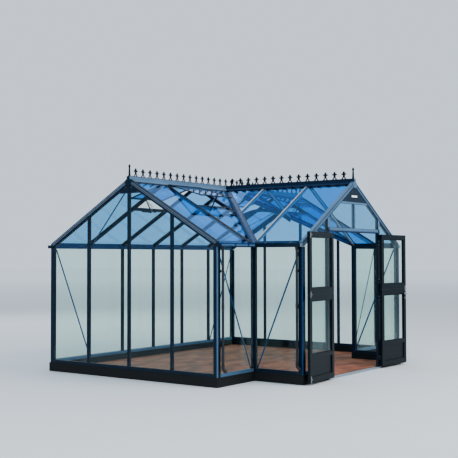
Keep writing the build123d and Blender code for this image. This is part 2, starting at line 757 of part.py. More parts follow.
brace_low = sill_top - brace_width
brace_high = eave_seat - brace_width
inner_mark = post_leg / 2
roof_inset = 2 * frame_depth
roof_length = half_wide / cos(main_pitch)
back_brace = back_wall * brace(half_long - leg_end, brace_high, half_long - bay, brace_low)
front_brace = front_wall * brace(leg_end - half_long, brace_high, -wing_half - inner_mark, brace_low)
side_brace = wing_side * brace(front - leg_end, brace_high, half_wide + inner_mark, brace_low)
roof_brace = front_roof * brace(roof_inset - half_long, roof_length - roof_inset, roof_lines[0], roof_inset)
save("braces", both([back_brace, front_brace, side_brace, mirror(roof_brace, about=Plane.XZ)]))


# Cresting: a strip along the ridge with one ornament after another, and a finial at each gable
def ornament():
    """A forked foot, a slim stem, two pointed lobes and a pointed head, drawn upwards from the strip."""
    cross = 0.6 * ornament_height
    stem = ornament_stem / 2
    half = [
        (ornament_foot / 2, 0), (stem, ornament_foot / 2), (stem, cross - ornament_stem), (ornament_arm / 2, cross),
        (stem, cross + stem), (ornament_head / 2, cross + 0.7 * ornament_head), (0, ornament_height),
    ]
    notch = [(ornament_foot / 3, 0), (0, ornament_foot / 3), (-ornament_foot / 3, 0)]
    return outline(notch[::-1] + half + [(-x, z) for x, z in reversed(half[:-1])])


def cresting(start, length):
    """A strip with its ornaments, drawn along X from the given start."""
    pitch = bay / ornaments_per_bay
    count = int(length // pitch)
    first = start + (length - (count - 1) * pitch) / 2
    plane = Plane(origin=(0, cresting_thickness / 2, cap_height), x_dir=(1, 0, 0), z_dir=(0, -1, 0))
    strip = Pos(start + length / 2, strip_height / 2) * Rectangle(length, strip_height)
    shapes = [Pos(first + i * pitch, strip_height) * ornament() for i in range(count)]
    return extrude(plane * strip, cresting_thickness) + [extrude(plane * s, cresting_thickness) for s in shapes]


finial_room = frame_depth
main_length = 2 * (half_long - finial_room)
wing_length = front - finial_room - cresting_thickness / 2
crest_main = cresting(-main_length / 2, main_length)
crest_wing = Rot(0, 0, -90) * cresting(cresting_thickness / 2, wing_length)
finial_stages = [(0, finial_base), (strip_height, finial_base), (finial_height / 3, finial_neck),
                 (finial_height / 2, finial_bulb), (finial_height, finial_tip)]
finial = loft([Pos(0, 0, z) * RegularPolygon(radius, finial_sides) for z, radius in finial_stages], ruled=True)
finial_inset = finial_room / 2
finial_places = [(finial_inset - half_long, 0), (half_long - finial_inset, 0), (0, finial_inset - front)]
finials = [Pos(x, y, cap_height) * finial for x, y in finial_places]
save("ridge_ornaments", [crest_main, crest_wing] + finials)

# Downpipes under the front gutters, each with a shoe that throws the water forwards
pipe_out = gutter_reach / 2 + drip
pipe = Pos(0, 0, (eave_seat + pipe_foot) / 2) * Cylinder(pipe_radius, eave_seat - pipe_foot)
shoe_path = Polyline((0, 0, pipe_foot + shoe_socket), (0, 0, pipe_foot - pipe_radius),
                     (0, -shoe_reach, pipe_foot - pipe_radius - shoe_reach))
shoe_face = Pos(0, 0, pipe_foot + shoe_socket) * RegularPolygon(pipe_radius + shoe_wall, shoe_sides)
shoe = sweep(shoe_face, path=shoe_path, transition=Transition.RIGHT)
downpipe = pipe + shoe
corner_pipe = Pos(leg_end - half_long, -half_wide - pipe_out, 0) * downpipe
wing_pipe = Pos(-wing_half - pipe_out, leg_end - front, 0) * downpipe
save("downpipes", both([corner_pipe, wing_pipe]))
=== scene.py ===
import json
import math

import bmesh
import bpy
from bpy.props import FloatProperty, FloatVectorProperty, PointerProperty
from mathutils import Matrix, Vector

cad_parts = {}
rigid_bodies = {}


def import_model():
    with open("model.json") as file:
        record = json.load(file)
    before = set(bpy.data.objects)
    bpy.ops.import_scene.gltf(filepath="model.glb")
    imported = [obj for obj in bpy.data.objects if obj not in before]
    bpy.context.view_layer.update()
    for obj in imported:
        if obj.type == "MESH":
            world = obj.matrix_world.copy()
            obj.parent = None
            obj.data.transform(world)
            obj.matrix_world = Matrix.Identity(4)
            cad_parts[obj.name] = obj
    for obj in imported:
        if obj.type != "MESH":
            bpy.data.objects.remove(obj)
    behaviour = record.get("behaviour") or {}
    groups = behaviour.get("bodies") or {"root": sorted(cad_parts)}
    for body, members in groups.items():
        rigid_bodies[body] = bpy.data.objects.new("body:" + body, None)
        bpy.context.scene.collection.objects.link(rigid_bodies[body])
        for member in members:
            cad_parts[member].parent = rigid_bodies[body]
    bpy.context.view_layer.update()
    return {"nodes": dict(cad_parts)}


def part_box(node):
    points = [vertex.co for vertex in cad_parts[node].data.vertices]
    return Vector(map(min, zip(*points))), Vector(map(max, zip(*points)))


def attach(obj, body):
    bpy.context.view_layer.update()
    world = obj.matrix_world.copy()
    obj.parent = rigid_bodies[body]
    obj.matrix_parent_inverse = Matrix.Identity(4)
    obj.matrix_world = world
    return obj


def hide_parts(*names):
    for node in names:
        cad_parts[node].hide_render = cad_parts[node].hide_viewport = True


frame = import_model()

bl_info = {
    "name": "Glass Greenhouse",
    "version": (1, 0, 0),
    "blender": (4, 5, 0),
    "location": "View3D > Sidebar > Greenhouse",
    "description": "Finishes, trim and fittings of a gabled glass greenhouse with a wing and double doors",
    "category": "Object",
}

NODES = frame["nodes"]

# Sizes read from the frame, in metres
LONG, WIDE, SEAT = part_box("outer_corner_posts")[1]
FRONT = -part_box("outer_corner_posts")[0].y
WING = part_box("wing_gable_rafters")[1].x
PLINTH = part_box("base_sides")[1].z
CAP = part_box("ridge_main")[1].z
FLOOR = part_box("floor")[1].z

# Sizes of the sections that the trim is fitted to
BAY = 0.735
EAVE = 1.790
RISE = 0.860
RIDGE = EAVE + RISE
CAP_HALF = 0.015
LIP = 0.004
PANE_BACK = 0.008
DEPTH = 0.044
LEG = 0.062
RAFTER_DEEP = 0.064
RIDGE_HALF = 0.022
SKIRT_OUT = 0.074
VALLEY_HALF = 0.035
SILL = PLINTH + 0.040
SILL_SCREWS = 0.138
GUTTER_OUT, GUTTER_LOW, GUTTER_TOP = 0.062, 1.7295, 1.7715
PIPE_OUT = 0.039
HOOK_HALF = 0.011
LINTEL = 1.946
HEAD_TOP = 1.991
COLLAR = 2.330
PLATE = 2.455
DOOR_HALF = 0.710
JAMB_OUTER = 0.760
JAMB_MIDDLE = (DOOR_HALF + JAMB_OUTER) / 2
LEAF_EDGES = (0.003, 0.704)
LEAF_BACK = 0.036
LEAF_LIGHTS = ((0.065, 0.642, 0.380, 1.052), (0.065, 0.642, 1.208, 1.856))
LEAF_KICK = (0.065, 0.642, 0.096, 0.335)
HANDLE_X, HANDLE_Z = 0.034, 1.054
HINGES = (0.150, 1.007, 1.253, 1.802)
PIN_X, PIN_Y = 0.707, -2.217
MAIN_PITCH = math.atan(RISE / WIDE)
WING_PITCH = math.atan(RISE / WING)


def shift(x, y, z):
    return Matrix.Translation((x, y, z))


def turn(degrees, axis):
    return Matrix.Rotation(math.radians(degrees), 4, axis)


def mm(*numbers):
    """Points in metres, from pairs of millimetres."""
    return [(a / 1000, b / 1000) for a, b in zip(numbers[::2], numbers[1::2])]


# Places: each wall and slope has its own frame, x along it, y inwards from its outer face, z up
def panel(origin, along, up=(0, 0, 1)):
    along, up = Vector(along).normalized(), Vector(up).normalized()
    place = Matrix((along, up.cross(along), up)).transposed().to_4x4()
    place.translation = origin
    return place


GROUND = Matrix.Identity(4)
MIRROR = Matrix.Diagonal((-1, 1, 1, 1))
FRONT_WALL = panel((0, -WIDE, 0), (1, 0, 0))
BACK_WALL = panel((0, WIDE, 0), (-1, 0, 0))
LEFT_GABLE = panel((-LONG, 0, 0), (0, -1, 0))
WING_SIDE = panel((-WING, 0, 0), (0, -1, 0))
WING_FRONT = panel((0, -FRONT, 0), (1, 0, 0))
FRONT_ROOF = panel((0, -WIDE, EAVE), (1, 0, 0), (0, math.cos(MAIN_PITCH), math.sin(MAIN_PITCH)))
BACK_ROOF = panel((0, WIDE, EAVE), (-1, 0, 0), (0, -math.cos(MAIN_PITCH), math.sin(MAIN_PITCH)))
WING_ROOF = panel((-WING, 0, EAVE), (0, -1, 0), (math.cos(WING_PITCH), 0, math.sin(WING_PITCH)))
SWUNG = shift(PIN_X, PIN_Y, 0) @ turn(176, "Z") @ shift(-PIN_X, -PIN_Y, 0)
MAIN_TOP = (WIDE - SKIRT_OUT) / math.cos(MAIN_PITCH)
WING_TOP = (WING - SKIRT_OUT) / math.cos(WING_PITCH)
VENT_TOP = MAIN_TOP - 0.0032
VENT_LOW = VENT_TOP - 0.590
VENT_SWING = shift(0, -0.006, VENT_TOP) @ turn(-14, "X") @ shift(0, 0.006, -VENT_TOP)

# The valley's edge on a slope starts at a foot on the eave and leans with the height on the slope
MAIN_FOOT = WING + VALLEY_HALF * math.hypot(WIDE, WING) / WIDE
MAIN_LEAN = math.cos(MAIN_PITCH) * WING / WIDE
WING_FOOT = WIDE + VALLEY_HALF * math.hypot(WIDE, WING) / WING
WING_LEAN = math.cos(WING_PITCH) * WIDE / WING


def sides(place, both=True):
    """A place and, where it has one, its mirror image on the other half of the house."""
    return (place, MIRROR @ place) if both else (place,)


def spread(rows):
    """Rows of a place, any values, and whether both halves have them, as one row for each half."""
    for place, *values, both in rows:
        for spot in sides(place, both):
            yield place, spot, *values


# The glass that shows between the bars, as outlines of (x, z) points in the frame of its wall or slope
def rectangle(x0, x1, z0, z1):
    return [(x0, z0), (x1, z0), (x1, z1), (x0, z1)]


def cut(outline, across, up, limit):
    """The part of a convex outline where across * x + up * z stays under a limit."""
    kept = []
    for (x0, z0), (x1, z1) in zip(outline, outline[1:] + outline[:1]):
        a, b = across * x0 + up * z0 - limit, across * x1 + up * z1 - limit
        if a <= 0:
            kept.append((x0, z0))
        if a * b < 0:
            kept.append((x0 + (x1 - x0) * a / (a - b), z0 + (z1 - z0) * a / (a - b)))
    return kept


def shrunk(outline, width):
    """A convex outline drawn in on all sides."""
    corners, moved = [Vector(point) for point in outline], []
    for i, corner in enumerate(corners):
        before = (corner - corners[i - 1]).normalized()
        after = (corners[(i + 1) % len(corners)] - corner).normalized()
        first, second = Vector((-before.y, before.x)), Vector((-after.y, after.x))
        moved.append(corner + (first + second) * width / (1 + first.dot(second)))
    return moved


def bays(low, count, end):
    """Left and right edges of the glass in a row of bays between two corners."""
    return [(low + BAY * i + (CAP_HALF if i else end), low + BAY * (i + 1) - (CAP_HALF if i < count - 1 else end))
            for i in range(count)]


def under_rafters(outline, half, pitch):
    top = EAVE + half * math.tan(pitch) - RAFTER_DEEP / math.cos(pitch)
    return cut(cut(outline, math.tan(pitch), 1, top), -math.tan(pitch), 1, top)


def wall_lights():
    """Each pane of the walls: its place, its outline, and whether the other half of the house has it too."""
    lights = [(BACK_WALL, rectangle(x0, x1, SILL, SEAT), False) for x0, x1 in bays(-LONG, 6, LEG)]
    lights += [(FRONT_WALL, rectangle(LEG - LONG, -WING - 0.018, SILL, SEAT), True),
               (WING_SIDE, rectangle(WIDE + 0.018, FRONT - LEG, SILL, SEAT), True)]
    for x0, x1 in bays(-WIDE, 4, LEG):
        outline = under_rafters(rectangle(x0, x1, SILL, RIDGE), WIDE, MAIN_PITCH)
        lights.append((LEFT_GABLE, cut(outline, 0, 1, PLATE), True))
    for edges in ((LEG - WING, -JAMB_OUTER, SILL, RIDGE), (-DOOR_HALF, -CAP_HALF, HEAD_TOP, COLLAR)):
        lights.append((WING_FRONT, under_rafters(rectangle(*edges), WING, WING_PITCH), True))
    return lights


def roof_lights():
    """Each fixed pane of the roofs, in the same form as those of the walls."""
    lights = []
    for x0, x1, top in ((DEPTH - LONG, -1.485, MAIN_TOP), (-1.455, -0.750, VENT_LOW), (-0.720, 0, MAIN_TOP)):
        lights.append((FRONT_ROOF, cut(rectangle(x0, x1, 0, top), 1, -MAIN_LEAN, -MAIN_FOOT), True))
    for i, (x0, x1) in enumerate(bays(-LONG, 6, DEPTH)):
        lights.append((BACK_ROOF, rectangle(x0, x1, 0, VENT_LOW if i in (1, 4) else MAIN_TOP), False))
    for x0, x1 in ((0, 0.720), (0.750, 1.455), (1.485, FRONT - DEPTH)):
        lights.append((WING_ROOF, cut(rectangle(x0, x1, 0, WING_TOP), -1, -WING_LEAN, -WING_FOOT), True))
    return lights


class Wire:
    """A number in a shader tree; Python arithmetic on it adds the Math nodes."""

    def __init__(self, finish, socket):
        self.finish, self.socket = finish, socket

    def _math(self, operation, first, second=0.0, clamp=False):
        node = self.finish.node("ShaderNodeMath", {0: first, 1: second}, operation=operation, use_clamp=clamp)
        return Wire(self.finish, node.outputs[0])

    def __add__(self, other):
        return self._math("ADD", self, other)

    def __sub__(self, other):
        return self._math("SUBTRACT", self, other)

    def __rsub__(self, other):
        return self._math("SUBTRACT", other, self)

    def __mul__(self, other):
        return self._math("MULTIPLY", self, other)

    def __truediv__(self, other):
        return self._math("DIVIDE", self, other)

    def __pow__(self, other):
        return self._math("POWER", self, other)

    def __gt__(self, other):
        return self._math("GREATER_THAN", self, other)

    def __floor__(self):
        return self._math("FLOOR", self)

    def clamped(self):
        return self._math("ADD", self, clamp=True)

    __radd__ = __add__
    __rmul__ = __mul__


class Tree:
    """A node tree, built node by node."""

    def node(self, kind, values=None, **settings):
        """Adds a node: its settings first, then a value or a link for each socket given."""
        node = self.tree.nodes.new(kind)
        for key, value in settings.items():
            setattr(node, key, value)
        for key, value in (values or {}).items():
            socket = node.inputs[key]
            if isinstance(value, Wire):
                value = value.socket
            if isinstance(value, bpy.types.Node):
                value = value.outputs[0]
            if isinstance(value, bpy.types.NodeSocket):
                self.tree.links.new(value, socket)
            else:
                socket.default_value = (*value[:3], 1.0) if socket.type == "RGBA" else value
        return node


class Finish(Tree):
    """A procedural material."""

    def __init__(self, name):
        self.material = bpy.data.materials.new(name)
        self.material.use_nodes = True
        self.tree = self.material.node_tree
        self.tree.nodes.clear()
        self.place = self.node("ShaderNodeTexCoord").outputs["Object"]

    def noise(self, scale, detail, stretch=None):
        """Noise on Object coordinates, stretched by a scale for each axis where one is given."""
        vector = self.node("ShaderNodeMapping", {"Vector": self.place, "Scale": stretch}) if stretch else self.place
        values = {"Vector": vector, "Scale": scale, "Detail": detail, "Roughness": 0.55}
        return Wire(self, self.node("ShaderNodeTexNoise", values).outputs[0])

    def axes(self):
        return [Wire(self, socket) for socket in self.node("ShaderNodeSeparateXYZ", {0: self.place}).outputs]

    def blend(self, factor, first, second):
        """A colour between two others."""
        return self.node("ShaderNodeMix", {0: factor, 6: first, 7: second}, data_type="RGBA").outputs[2]

    def tinted(self, colour, factor):
        """A colour multiplied by a grey of the given strength."""
        grey = self.node("ShaderNodeCombineColor", {0: factor, 1: factor, 2: factor})
        values = {0: 1.0, 6: colour, 7: grey}
        return self.node("ShaderNodeMix", values, data_type="RGBA", blend_type="MULTIPLY").outputs[2]

    def bump(self, height, distance, strength, under=None):
        values = {"Height": height, "Distance": distance, "Strength": strength}
        return self.node("ShaderNodeBump", values | ({"Normal": under} if under else {}))

    def mixed(self, factor, first, second):
        """One shader over another."""
        return self.node("ShaderNodeMixShader", {0: factor.clamped(), 1: first, 2: second})

    def shader(self, **values):
        """A Principled shader with the given sockets, underscores standing for spaces."""
        return self.node("ShaderNodeBsdfPrincipled", {key.replace("_", " "): value for key, value in values.items()})

    def end(self, shader):
        self.node("ShaderNodeOutputMaterial", {"Surface": shader})
        return self.material


def lighter(colour, amount):
    return [min(1.0, c * amount) for c in colour]


class Stock:
    """Collects the solids of one piece in one mesh."""

    def __init__(self):
        self.bm = bmesh.new()

    def solid(self, place, rings):
        """A closed tube through rings of equally many points, given in turn from one end to the other."""
        loops = [[self.bm.verts.new(place @ Vector(point)) for point in ring] for ring in rings]
        count = len(loops[0])
        for low, high in zip(loops, loops[1:]):
            for i in range(count):
                j = (i + 1) % count
                self.bm.faces.new((low[i], low[j], high[j], high[i]))
        self.bm.faces.new(loops[0][::-1])
        self.bm.faces.new(loops[-1])
        return self

    def box(self, place, x0, x1, y0, y1, z0, z1, chamfer=0):
        """A block, with a small chamfer round both ends where one is given."""
        (x0, x1), (y0, y1), (z0, z1) = sorted((x0, x1)), sorted((y0, y1)), sorted((z0, z1))
        levels = ((z0, chamfer), (z0 + chamfer, 0), (z1 - chamfer, 0), (z1, chamfer)) if chamfer else ((z0, 0), (z1, 0))
        return self.solid(place, [[(x0 + inset, y0 + inset, z), (x1 - inset, y0 + inset, z),
                                   (x1 - inset, y1 - inset, z), (x0 + inset, y1 - inset, z)] for z, inset in levels])

    def turned(self, place, profile, sides=16):
        """A turned solid about the local z axis, from a profile of radii and heights going up."""
        angles = [math.tau * i / sides for i in range(sides)]
        return self.solid(place, [[(r * math.cos(a), r * math.sin(a), z) for a in angles] for r, z in profile])

    def tube(self, place, points, radius, sides=10):
        """A round bar along a path of points."""
        points = [Vector(p) for p in points]
        rings, side = [], None
        for i, point in enumerate(points):
            before = (point - points[i - 1] if i else points[1] - point).normalized()
            after = (points[i + 1] - point).normalized() if i < len(points) - 1 else before
            heading = (before + after).normalized()
            side = side or heading.orthogonal()
            side = (side - heading * side.dot(heading)).normalized()
            other, wide = heading.cross(side), radius / max(0.3, heading.dot(before))
            angles = (math.tau * k / sides for k in range(sides))
            rings.append([point + (side * math.cos(a) + other * math.sin(a)) * wide for a in angles])
        return self.solid(place, rings)

    def plate(self, place, points, y0, y1):
        """A flat piece: an outline of (x, z) points between two depths."""
        return self.solid(place, [[(x, y, z) for x, z in points] for y in (y0, y1)])

    def frame(self, place, outline, start, width, y0, y1, floor=-1):
        """A mitred frame inside an outline, between two depths; edges that lie below a floor stay open."""
        outer, inner = shrunk(outline, start), shrunk(outline, start + width)
        for i, corner in enumerate(outer):
            j = (i + 1) % len(outer)
            if max(corner.y, outer[j].y) > floor:
                self.plate(place, [corner, outer[j], inner[j], inner[i]], y0, y1)
        return self

    def along(self, place, x0, x1, section):
        """A bar along the local x axis with a section of (y, z) points."""
        return self.solid(place, [[(x, y, z) for y, z in section] for x in (x0, x1)])

    def knob(self, place, x, y, z, profile, sides=10, out=-1):
        """A turned part that stands on the plane of a wall; out is -1 on the outer face and 1 on the inner one."""
        return self.turned(place @ shift(x, y, z) @ turn(-90 * out, "X"), profile, sides)

    def mesh(self, name):
        bmesh.ops.recalc_face_normals(self.bm, faces=self.bm.faces)
        mesh = bpy.data.meshes.new(name)
        self.bm.to_mesh(mesh)
        self.bm.free()
        return mesh

    def piece(self, name, finish, body="house", slot="frame_anthracite", smooth=False):
        mesh = self.mesh(name)
        mesh.materials.append(FINISHES[finish])
        return seat(mesh, name, body, smooth)


def seat(mesh, name, body, smooth=False):
    """Puts a finished mesh in the scene and lets it ride on its body."""
    piece = bpy.data.objects.new(name, mesh)
    bpy.context.scene.collection.objects.link(piece)
    if smooth:
        for polygon in mesh.polygons:
            polygon.use_smooth = True
        mesh.set_sharp_from_angle(angle=math.radians(35))
    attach(piece, body)
    return piece


class Pattern(Tree):
    """A Geometry Nodes tree with named inputs that turns a carrier mesh into a finished piece."""

    def __init__(self, name, **inputs):
        self.tree = bpy.data.node_groups.new(name, "GeometryNodeTree")
        face, self.ids = self.tree.interface, {}
        for label, kind in {"Carrier": "Geometry", **inputs, "Finish": "Material"}.items():
            self.ids[label] = face.new_socket(label, in_out="INPUT", socket_type="NodeSocket" + kind).identifier
        face.new_socket("Piece", in_out="OUTPUT", socket_type="NodeSocketGeometry")
        self.given = self.node("NodeGroupInput").outputs

    def row(self, rotation):
        """The part, set at an even pitch along the carrier's edges."""
        line = self.node("GeometryNodeMeshToCurve", {0: self.given["Carrier"]})
        points = self.node("GeometryNodeResampleCurve", {"Curve": line, "Length": self.given["Pitch"]}, mode="LENGTH")
        part = self.node("GeometryNodeObjectInfo", {"Object": self.given["Part"]})
        return self.node("GeometryNodeInstanceOnPoints", {
            "Points": points, "Instance": part.outputs["Geometry"], "Rotation": rotation})

    def own_vector(self):
        """The vector that each point of the carrier has."""
        return self.node("GeometryNodeInputNamedAttribute", {"Name": "own_vector"}, data_type="FLOAT_VECTOR")

    def close(self, geometry):
        """Ends the tree in plain geometry with its material."""
        real = self.node("GeometryNodeRealizeInstances", {"Geometry": geometry})
        painted = self.node("GeometryNodeSetMaterial", {"Geometry": real, "Material": self.given["Finish"]})
        self.node("NodeGroupOutput", {0: painted})

    def make(self, carrier, name, finish, slot="frame_anthracite", **values):
        """Runs the tree on a carrier mesh and keeps the result as one plain mesh."""
        holder = bpy.data.objects.new(name + "_carrier", carrier)
        bpy.context.scene.collection.objects.link(holder)
        modifier = holder.modifiers.new(name, "NODES")
        modifier.node_group = self.tree
        for label, value in {**values, "Finish": FINISHES[finish]}.items():
            modifier[self.ids[label]] = value
        bpy.context.view_layer.update()
        graph = bpy.context.evaluated_depsgraph_get()
        mesh = bpy.data.meshes.new_from_object(holder.evaluated_get(graph), depsgraph=graph)
        mesh.name = name
        holder.modifiers.clear()
        bpy.data.objects.remove(holder)
        if not mesh.polygons:
            raise RuntimeError(f"{name}: the pattern made no faces")
        return seat(mesh, name, "house")


def carrier_mesh(name, points, edges=(), vectors=None):
    """Loose points or edges, with a vector of its own for each point where they are given."""
    mesh = bpy.data.meshes.new(name)
    mesh.from_pydata([tuple(p) for p in points], list(edges), [])
    if vectors:
        layer = mesh.attributes.new("own_vector", "FLOAT_VECTOR", "POINT")
        for i, vector in enumerate(vectors):
            layer.data[i].vector = vector
    return mesh


def sample(stock, name):
    """An object of its own for a part that a pattern repeats."""
    part = bpy.data.objects.new(name, stock.mesh(name))
    bpy.context.scene.collection.objects.link(part)
    return part


def colour(name, description, default):
    return FloatVectorProperty(name=name, description=description, default=default, subtype="COLOR", min=0, max=1)


def length(name, description, default, least=0.001):
    return FloatProperty(name=name, description=description, default=default, min=least, unit="LENGTH")


class GreenhouseFinishes(bpy.types.PropertyGroup):
    paint: colour("Paint", "Powder coat of the walls' frame", (0.005, 0.0165, 0.034))
    # This colour is a lighter, bluer copy of the anthracite coat: painted sky light on the roof frame, gutters, braces,
    # valleys, drip strip, wing nosings and wing ridge beads.
    roof_paint: colour("Roof paint", "Powder coat of the roof's frame", (0.015, 0.053, 0.14))
    # This colour is a pale copy of the anthracite coat for faces that catch the light: painted light, not bleaching.
    lit_paint: colour("Lit paint", "Powder coat where the sky has bleached it", (0.08, 0.145, 0.225))
    # This colour is a lighter copy of the anthracite coat: a painted highlight on the main ridge and its beads.
    ridge_paint: colour("Ridge paint", "Powder coat of the main ridge", (0.115, 0.19, 0.28))
    # This colour is a painted sky reflection on thin strips in the gable rafters' grooves.
    pale_paint: colour("Pale paint", "Powder coat of strips that mirror the sky", (0.29, 0.38, 0.49))
    # This colour is a darker copy of the anthracite coat: painted shade on the door leaves, their beads, the cresting
    # and the spires.
    leaf_paint: colour("Leaf paint", "Powder coat of the door leaves", (0.0025, 0.008, 0.012))
    plinth: colour("Plinth", "Coating of the plinth", (0.006, 0.009, 0.013))
    # The wing's bar caps are bare bright metal while the main roof's caps are painted: partly real metal, partly
    # painted sunlight.
    cap: colour("Bright caps", "Bar caps on the wing's roof", (0.42, 0.47, 0.53))
    glass_tint: colour("Wall glass", "Colour that the wall glass lets through", (0.925, 0.975, 0.955))
    # The roof glass's tint is partly the glass's own colour and partly a painted blue sky reflection.
    roof_tint: colour("Roof glass", "Colour that the roof glass lets through", (0.56, 0.79, 0.97))
    tile: colour("Floor bricks", "Fired clay of the floor", (0.27, 0.086, 0.038))
    grout: colour("Joints", "Sand in the joints of the floor", (0.13, 0.085, 0.06))
    steel: colour("Fittings", "Bright metal of bolts and handles", (0.50, 0.51, 0.52))
    pipe: colour("Downpipes", "Coating of the downpipes", (0.02, 0.03, 0.042))
    rubber: colour("Seals", "Rubber of the glazing seals", (0.012, 0.012, 0.013))


class GreenhouseTrim(bpy.types.PropertyGroup):
    ornament_pitch: length("Ornament pitch", "Distance between ridge ornaments", BAY / 5, 0.05)
    ornament_thickness: length("Ornament thickness", "Thickness of the cast cresting", 0.004)
    brick_length: length("Brick length", "Length of a floor brick", 0.21, 0.05)
    brick_width: length("Brick width", "Width of a floor brick", 0.105, 0.03)
    joint: length("Joint", "Gap between floor bricks", 0.004, 0)
    screw_pitch: length("Screw pitch", "Distance between the screws of a bar", 0.24, 0.05)
    screw_radius: length("Screw head", "Radius of a screw head", 0.0042)
    seal_width: length("Seal width", "Width of a glazing seal", 0.003)
    roof_seal_width: length("Roof seal width", "Width of the seals beside the main roof's bars", 0.018)


class GreenhouseStage(bpy.types.PropertyGroup):
    lens: FloatProperty(name="Lens", description="Focal length of the camera in millimetres", default=70.67, min=10)
    key: FloatProperty(name="Key light", description="Power of the main light in watts", default=900, min=0)
    sky: FloatProperty(name="Sky light", description="Strength of the even light", default=0.9, min=0)
    floor: colour("Floor", "Colour of the studio floor", (0.62, 0.63, 0.63))


def painted(name, colour, dust=0.5, gloss=0.34, rain_marks=1.0):
    """Powder coat: a fine orange-peel skin, faint rain marks and some dust near the ground."""
    f = Finish(name)
    cloud, mottle, rain, grain = f.noise(2.3, 4), f.noise(46, 5), f.noise(7, 3, (6, 6, 0.35)), f.noise(620, 2)
    splash = ((0.42 - f.axes()[2]) * 2.2).clamped() * (mottle * 0.9 + 0.1) * dust
    marks = ((rain - 0.56) * 3.2).clamped() * 0.07 * rain_marks
    tone = f.tinted(colour, cloud * 0.5 + mottle * 0.24 + 0.66)
    tone = f.blend(marks, tone, lighter(colour, 3.5))
    tone = f.blend(splash * 0.30, tone, (0.09, 0.08, 0.06))
    rough = mottle * 0.16 + marks * 0.9 + splash * 0.5 + (gloss - 0.08)
    skin = f.bump(grain, 0.00005, 0.4, f.bump(mottle, 0.0003, 0.2))
    return f.end(f.shader(Base_Color=tone, Roughness=rough.clamped(), Coat_Weight=0.04, Coat_Roughness=0.12,
                          Specular_IOR_Level=0.15, Normal=skin))


def bright_cap(name, colour):
    """Mill-finished capping strip with drawing lines along it and dull patches."""
    f = Finish(name)
    lines, patch = f.noise(16, 3, (3, 60, 3)), f.noise(9, 4)
    tone = f.blend((patch * 0.8 - 0.1).clamped(), colour, lighter(colour, 0.62))
    rough = (patch * 0.22 + lines * 0.12 + 0.24).clamped()
    return f.end(f.shader(Base_Color=tone, Metallic=0.85, Roughness=rough, Normal=f.bump(lines, 0.0003, 0.3)))


def metal(name, colour, rough=0.26):
    """Turned and brushed bright metal."""
    f = Finish(name)
    brush, patch = f.noise(240, 3, (1, 1, 6)), f.noise(28, 4)
    tone = f.blend((patch * 0.9 - 0.15).clamped(), colour, lighter(colour, 0.55))
    worn = (brush * 0.16 + patch * 0.12 + rough - 0.1).clamped()
    return f.end(f.shader(Base_Color=tone, Metallic=1.0, Roughness=worn, Normal=f.bump(brush, 0.00008, 0.4)))


def pane_glass(name, tint, sheen, film, least):
    """Clear float glass: gloss that grows towards grazing angles, slight waves and a faint dusty film."""
    f = Finish(name)
    facing = Wire(f, f.node("ShaderNodeLayerWeight", {"Blend": 0.5}).outputs["Facing"])
    waves, dust, specks = f.noise(1.4, 2), f.noise(5.5, 5), f.noise(90, 3)
    low = ((0.50 - f.axes()[2]) * 1.6).clamped() * dust * 0.10
    rain = ((f.noise(5, 3, (7, 7, 0.5)) - 0.57) * 1.6).clamped() * 0.05
    veil = ((dust - 0.45) * film).clamped() + ((specks - 0.66) * 0.12).clamped() + low + rain
    clear = f.node("ShaderNodeBsdfTransparent", {"Color": tint})
    haze = f.shader(Base_Color=f.blend(dust, (0.40, 0.42, 0.38), (0.56, 0.58, 0.56)), Roughness=0.8)
    # The gloss takes its colour from the given tint: a painted sky reflection over the real gloss.
    gloss = f.shader(Base_Color=sheen, Metallic=1.0, Roughness=0.015, Normal=f.bump(waves, 0.004, 0.35))
    return f.end(f.mixed((facing ** 5) * 0.78 + least, f.mixed(veil, clear, haze), gloss))


def fired_clay(name, colour, length, width):
    """Fired clay: each brick has its own tone, with pores, dark burns and a worn, dusty face."""
    f = Finish(name)
    x, y, _ = f.axes()
    row = math.floor(y / width)
    cell = f.node("ShaderNodeCombineXYZ", {0: math.floor(x / length + row * 0.5), 1: row})
    own = f.node("ShaderNodeTexWhiteNoise", {"Vector": cell}, noise_dimensions="3D").outputs["Value"]
    burn, pores = f.noise(9, 5), f.noise(170, 4)
    tone = f.blend(own, lighter(colour, 0.62), lighter(colour, 1.35))
    tone = f.blend(((burn - 0.52) * 2.4).clamped() * 0.55, tone, lighter(colour, 0.30))
    tone = f.blend(((pores - 0.55) * 2.2).clamped() * 0.35, tone, (0.34, 0.24, 0.17))
    rough = (pores * 0.25 + burn * 0.15 + 0.58).clamped()
    worn = f.bump(pores, 0.0008, 0.5, f.bump(burn, 0.003, 0.3))
    return f.end(f.shader(Base_Color=tone, Roughness=rough, Normal=worn))


def jointing(name, colour):
    """Brushed sand between and below the bricks."""
    f = Finish(name)
    sand, patch = f.noise(380, 4), f.noise(6, 4)
    tone = f.blend(sand, lighter(colour, 0.6), lighter(colour, 1.5))
    tone = f.blend((patch * 0.5).clamped(), tone, lighter(colour, 0.7))
    return f.end(f.shader(Base_Color=tone, Roughness=0.92, Normal=f.bump(sand, 0.0008, 0.6)))


def pipe_finish(name, colour, foot):
    """Coated downpipe with light streaks, ending in a black moulded shoe."""
    f = Finish(name)
    above = f.axes()[2] > 0.290
    streak, grain = f.noise(18, 3, (8, 8, 0.5)), f.noise(480, 2)
    tone = f.blend(above, foot, f.blend(streak, lighter(colour, 0.75), lighter(colour, 1.25)))
    rough = (streak * 0.15 + 0.50 - above * 0.22).clamped()
    return f.end(f.shader(Base_Color=tone, Roughness=rough, Metallic=(above * 0.35).clamped(),
                          Normal=f.bump(grain, 0.00015, 0.4)))


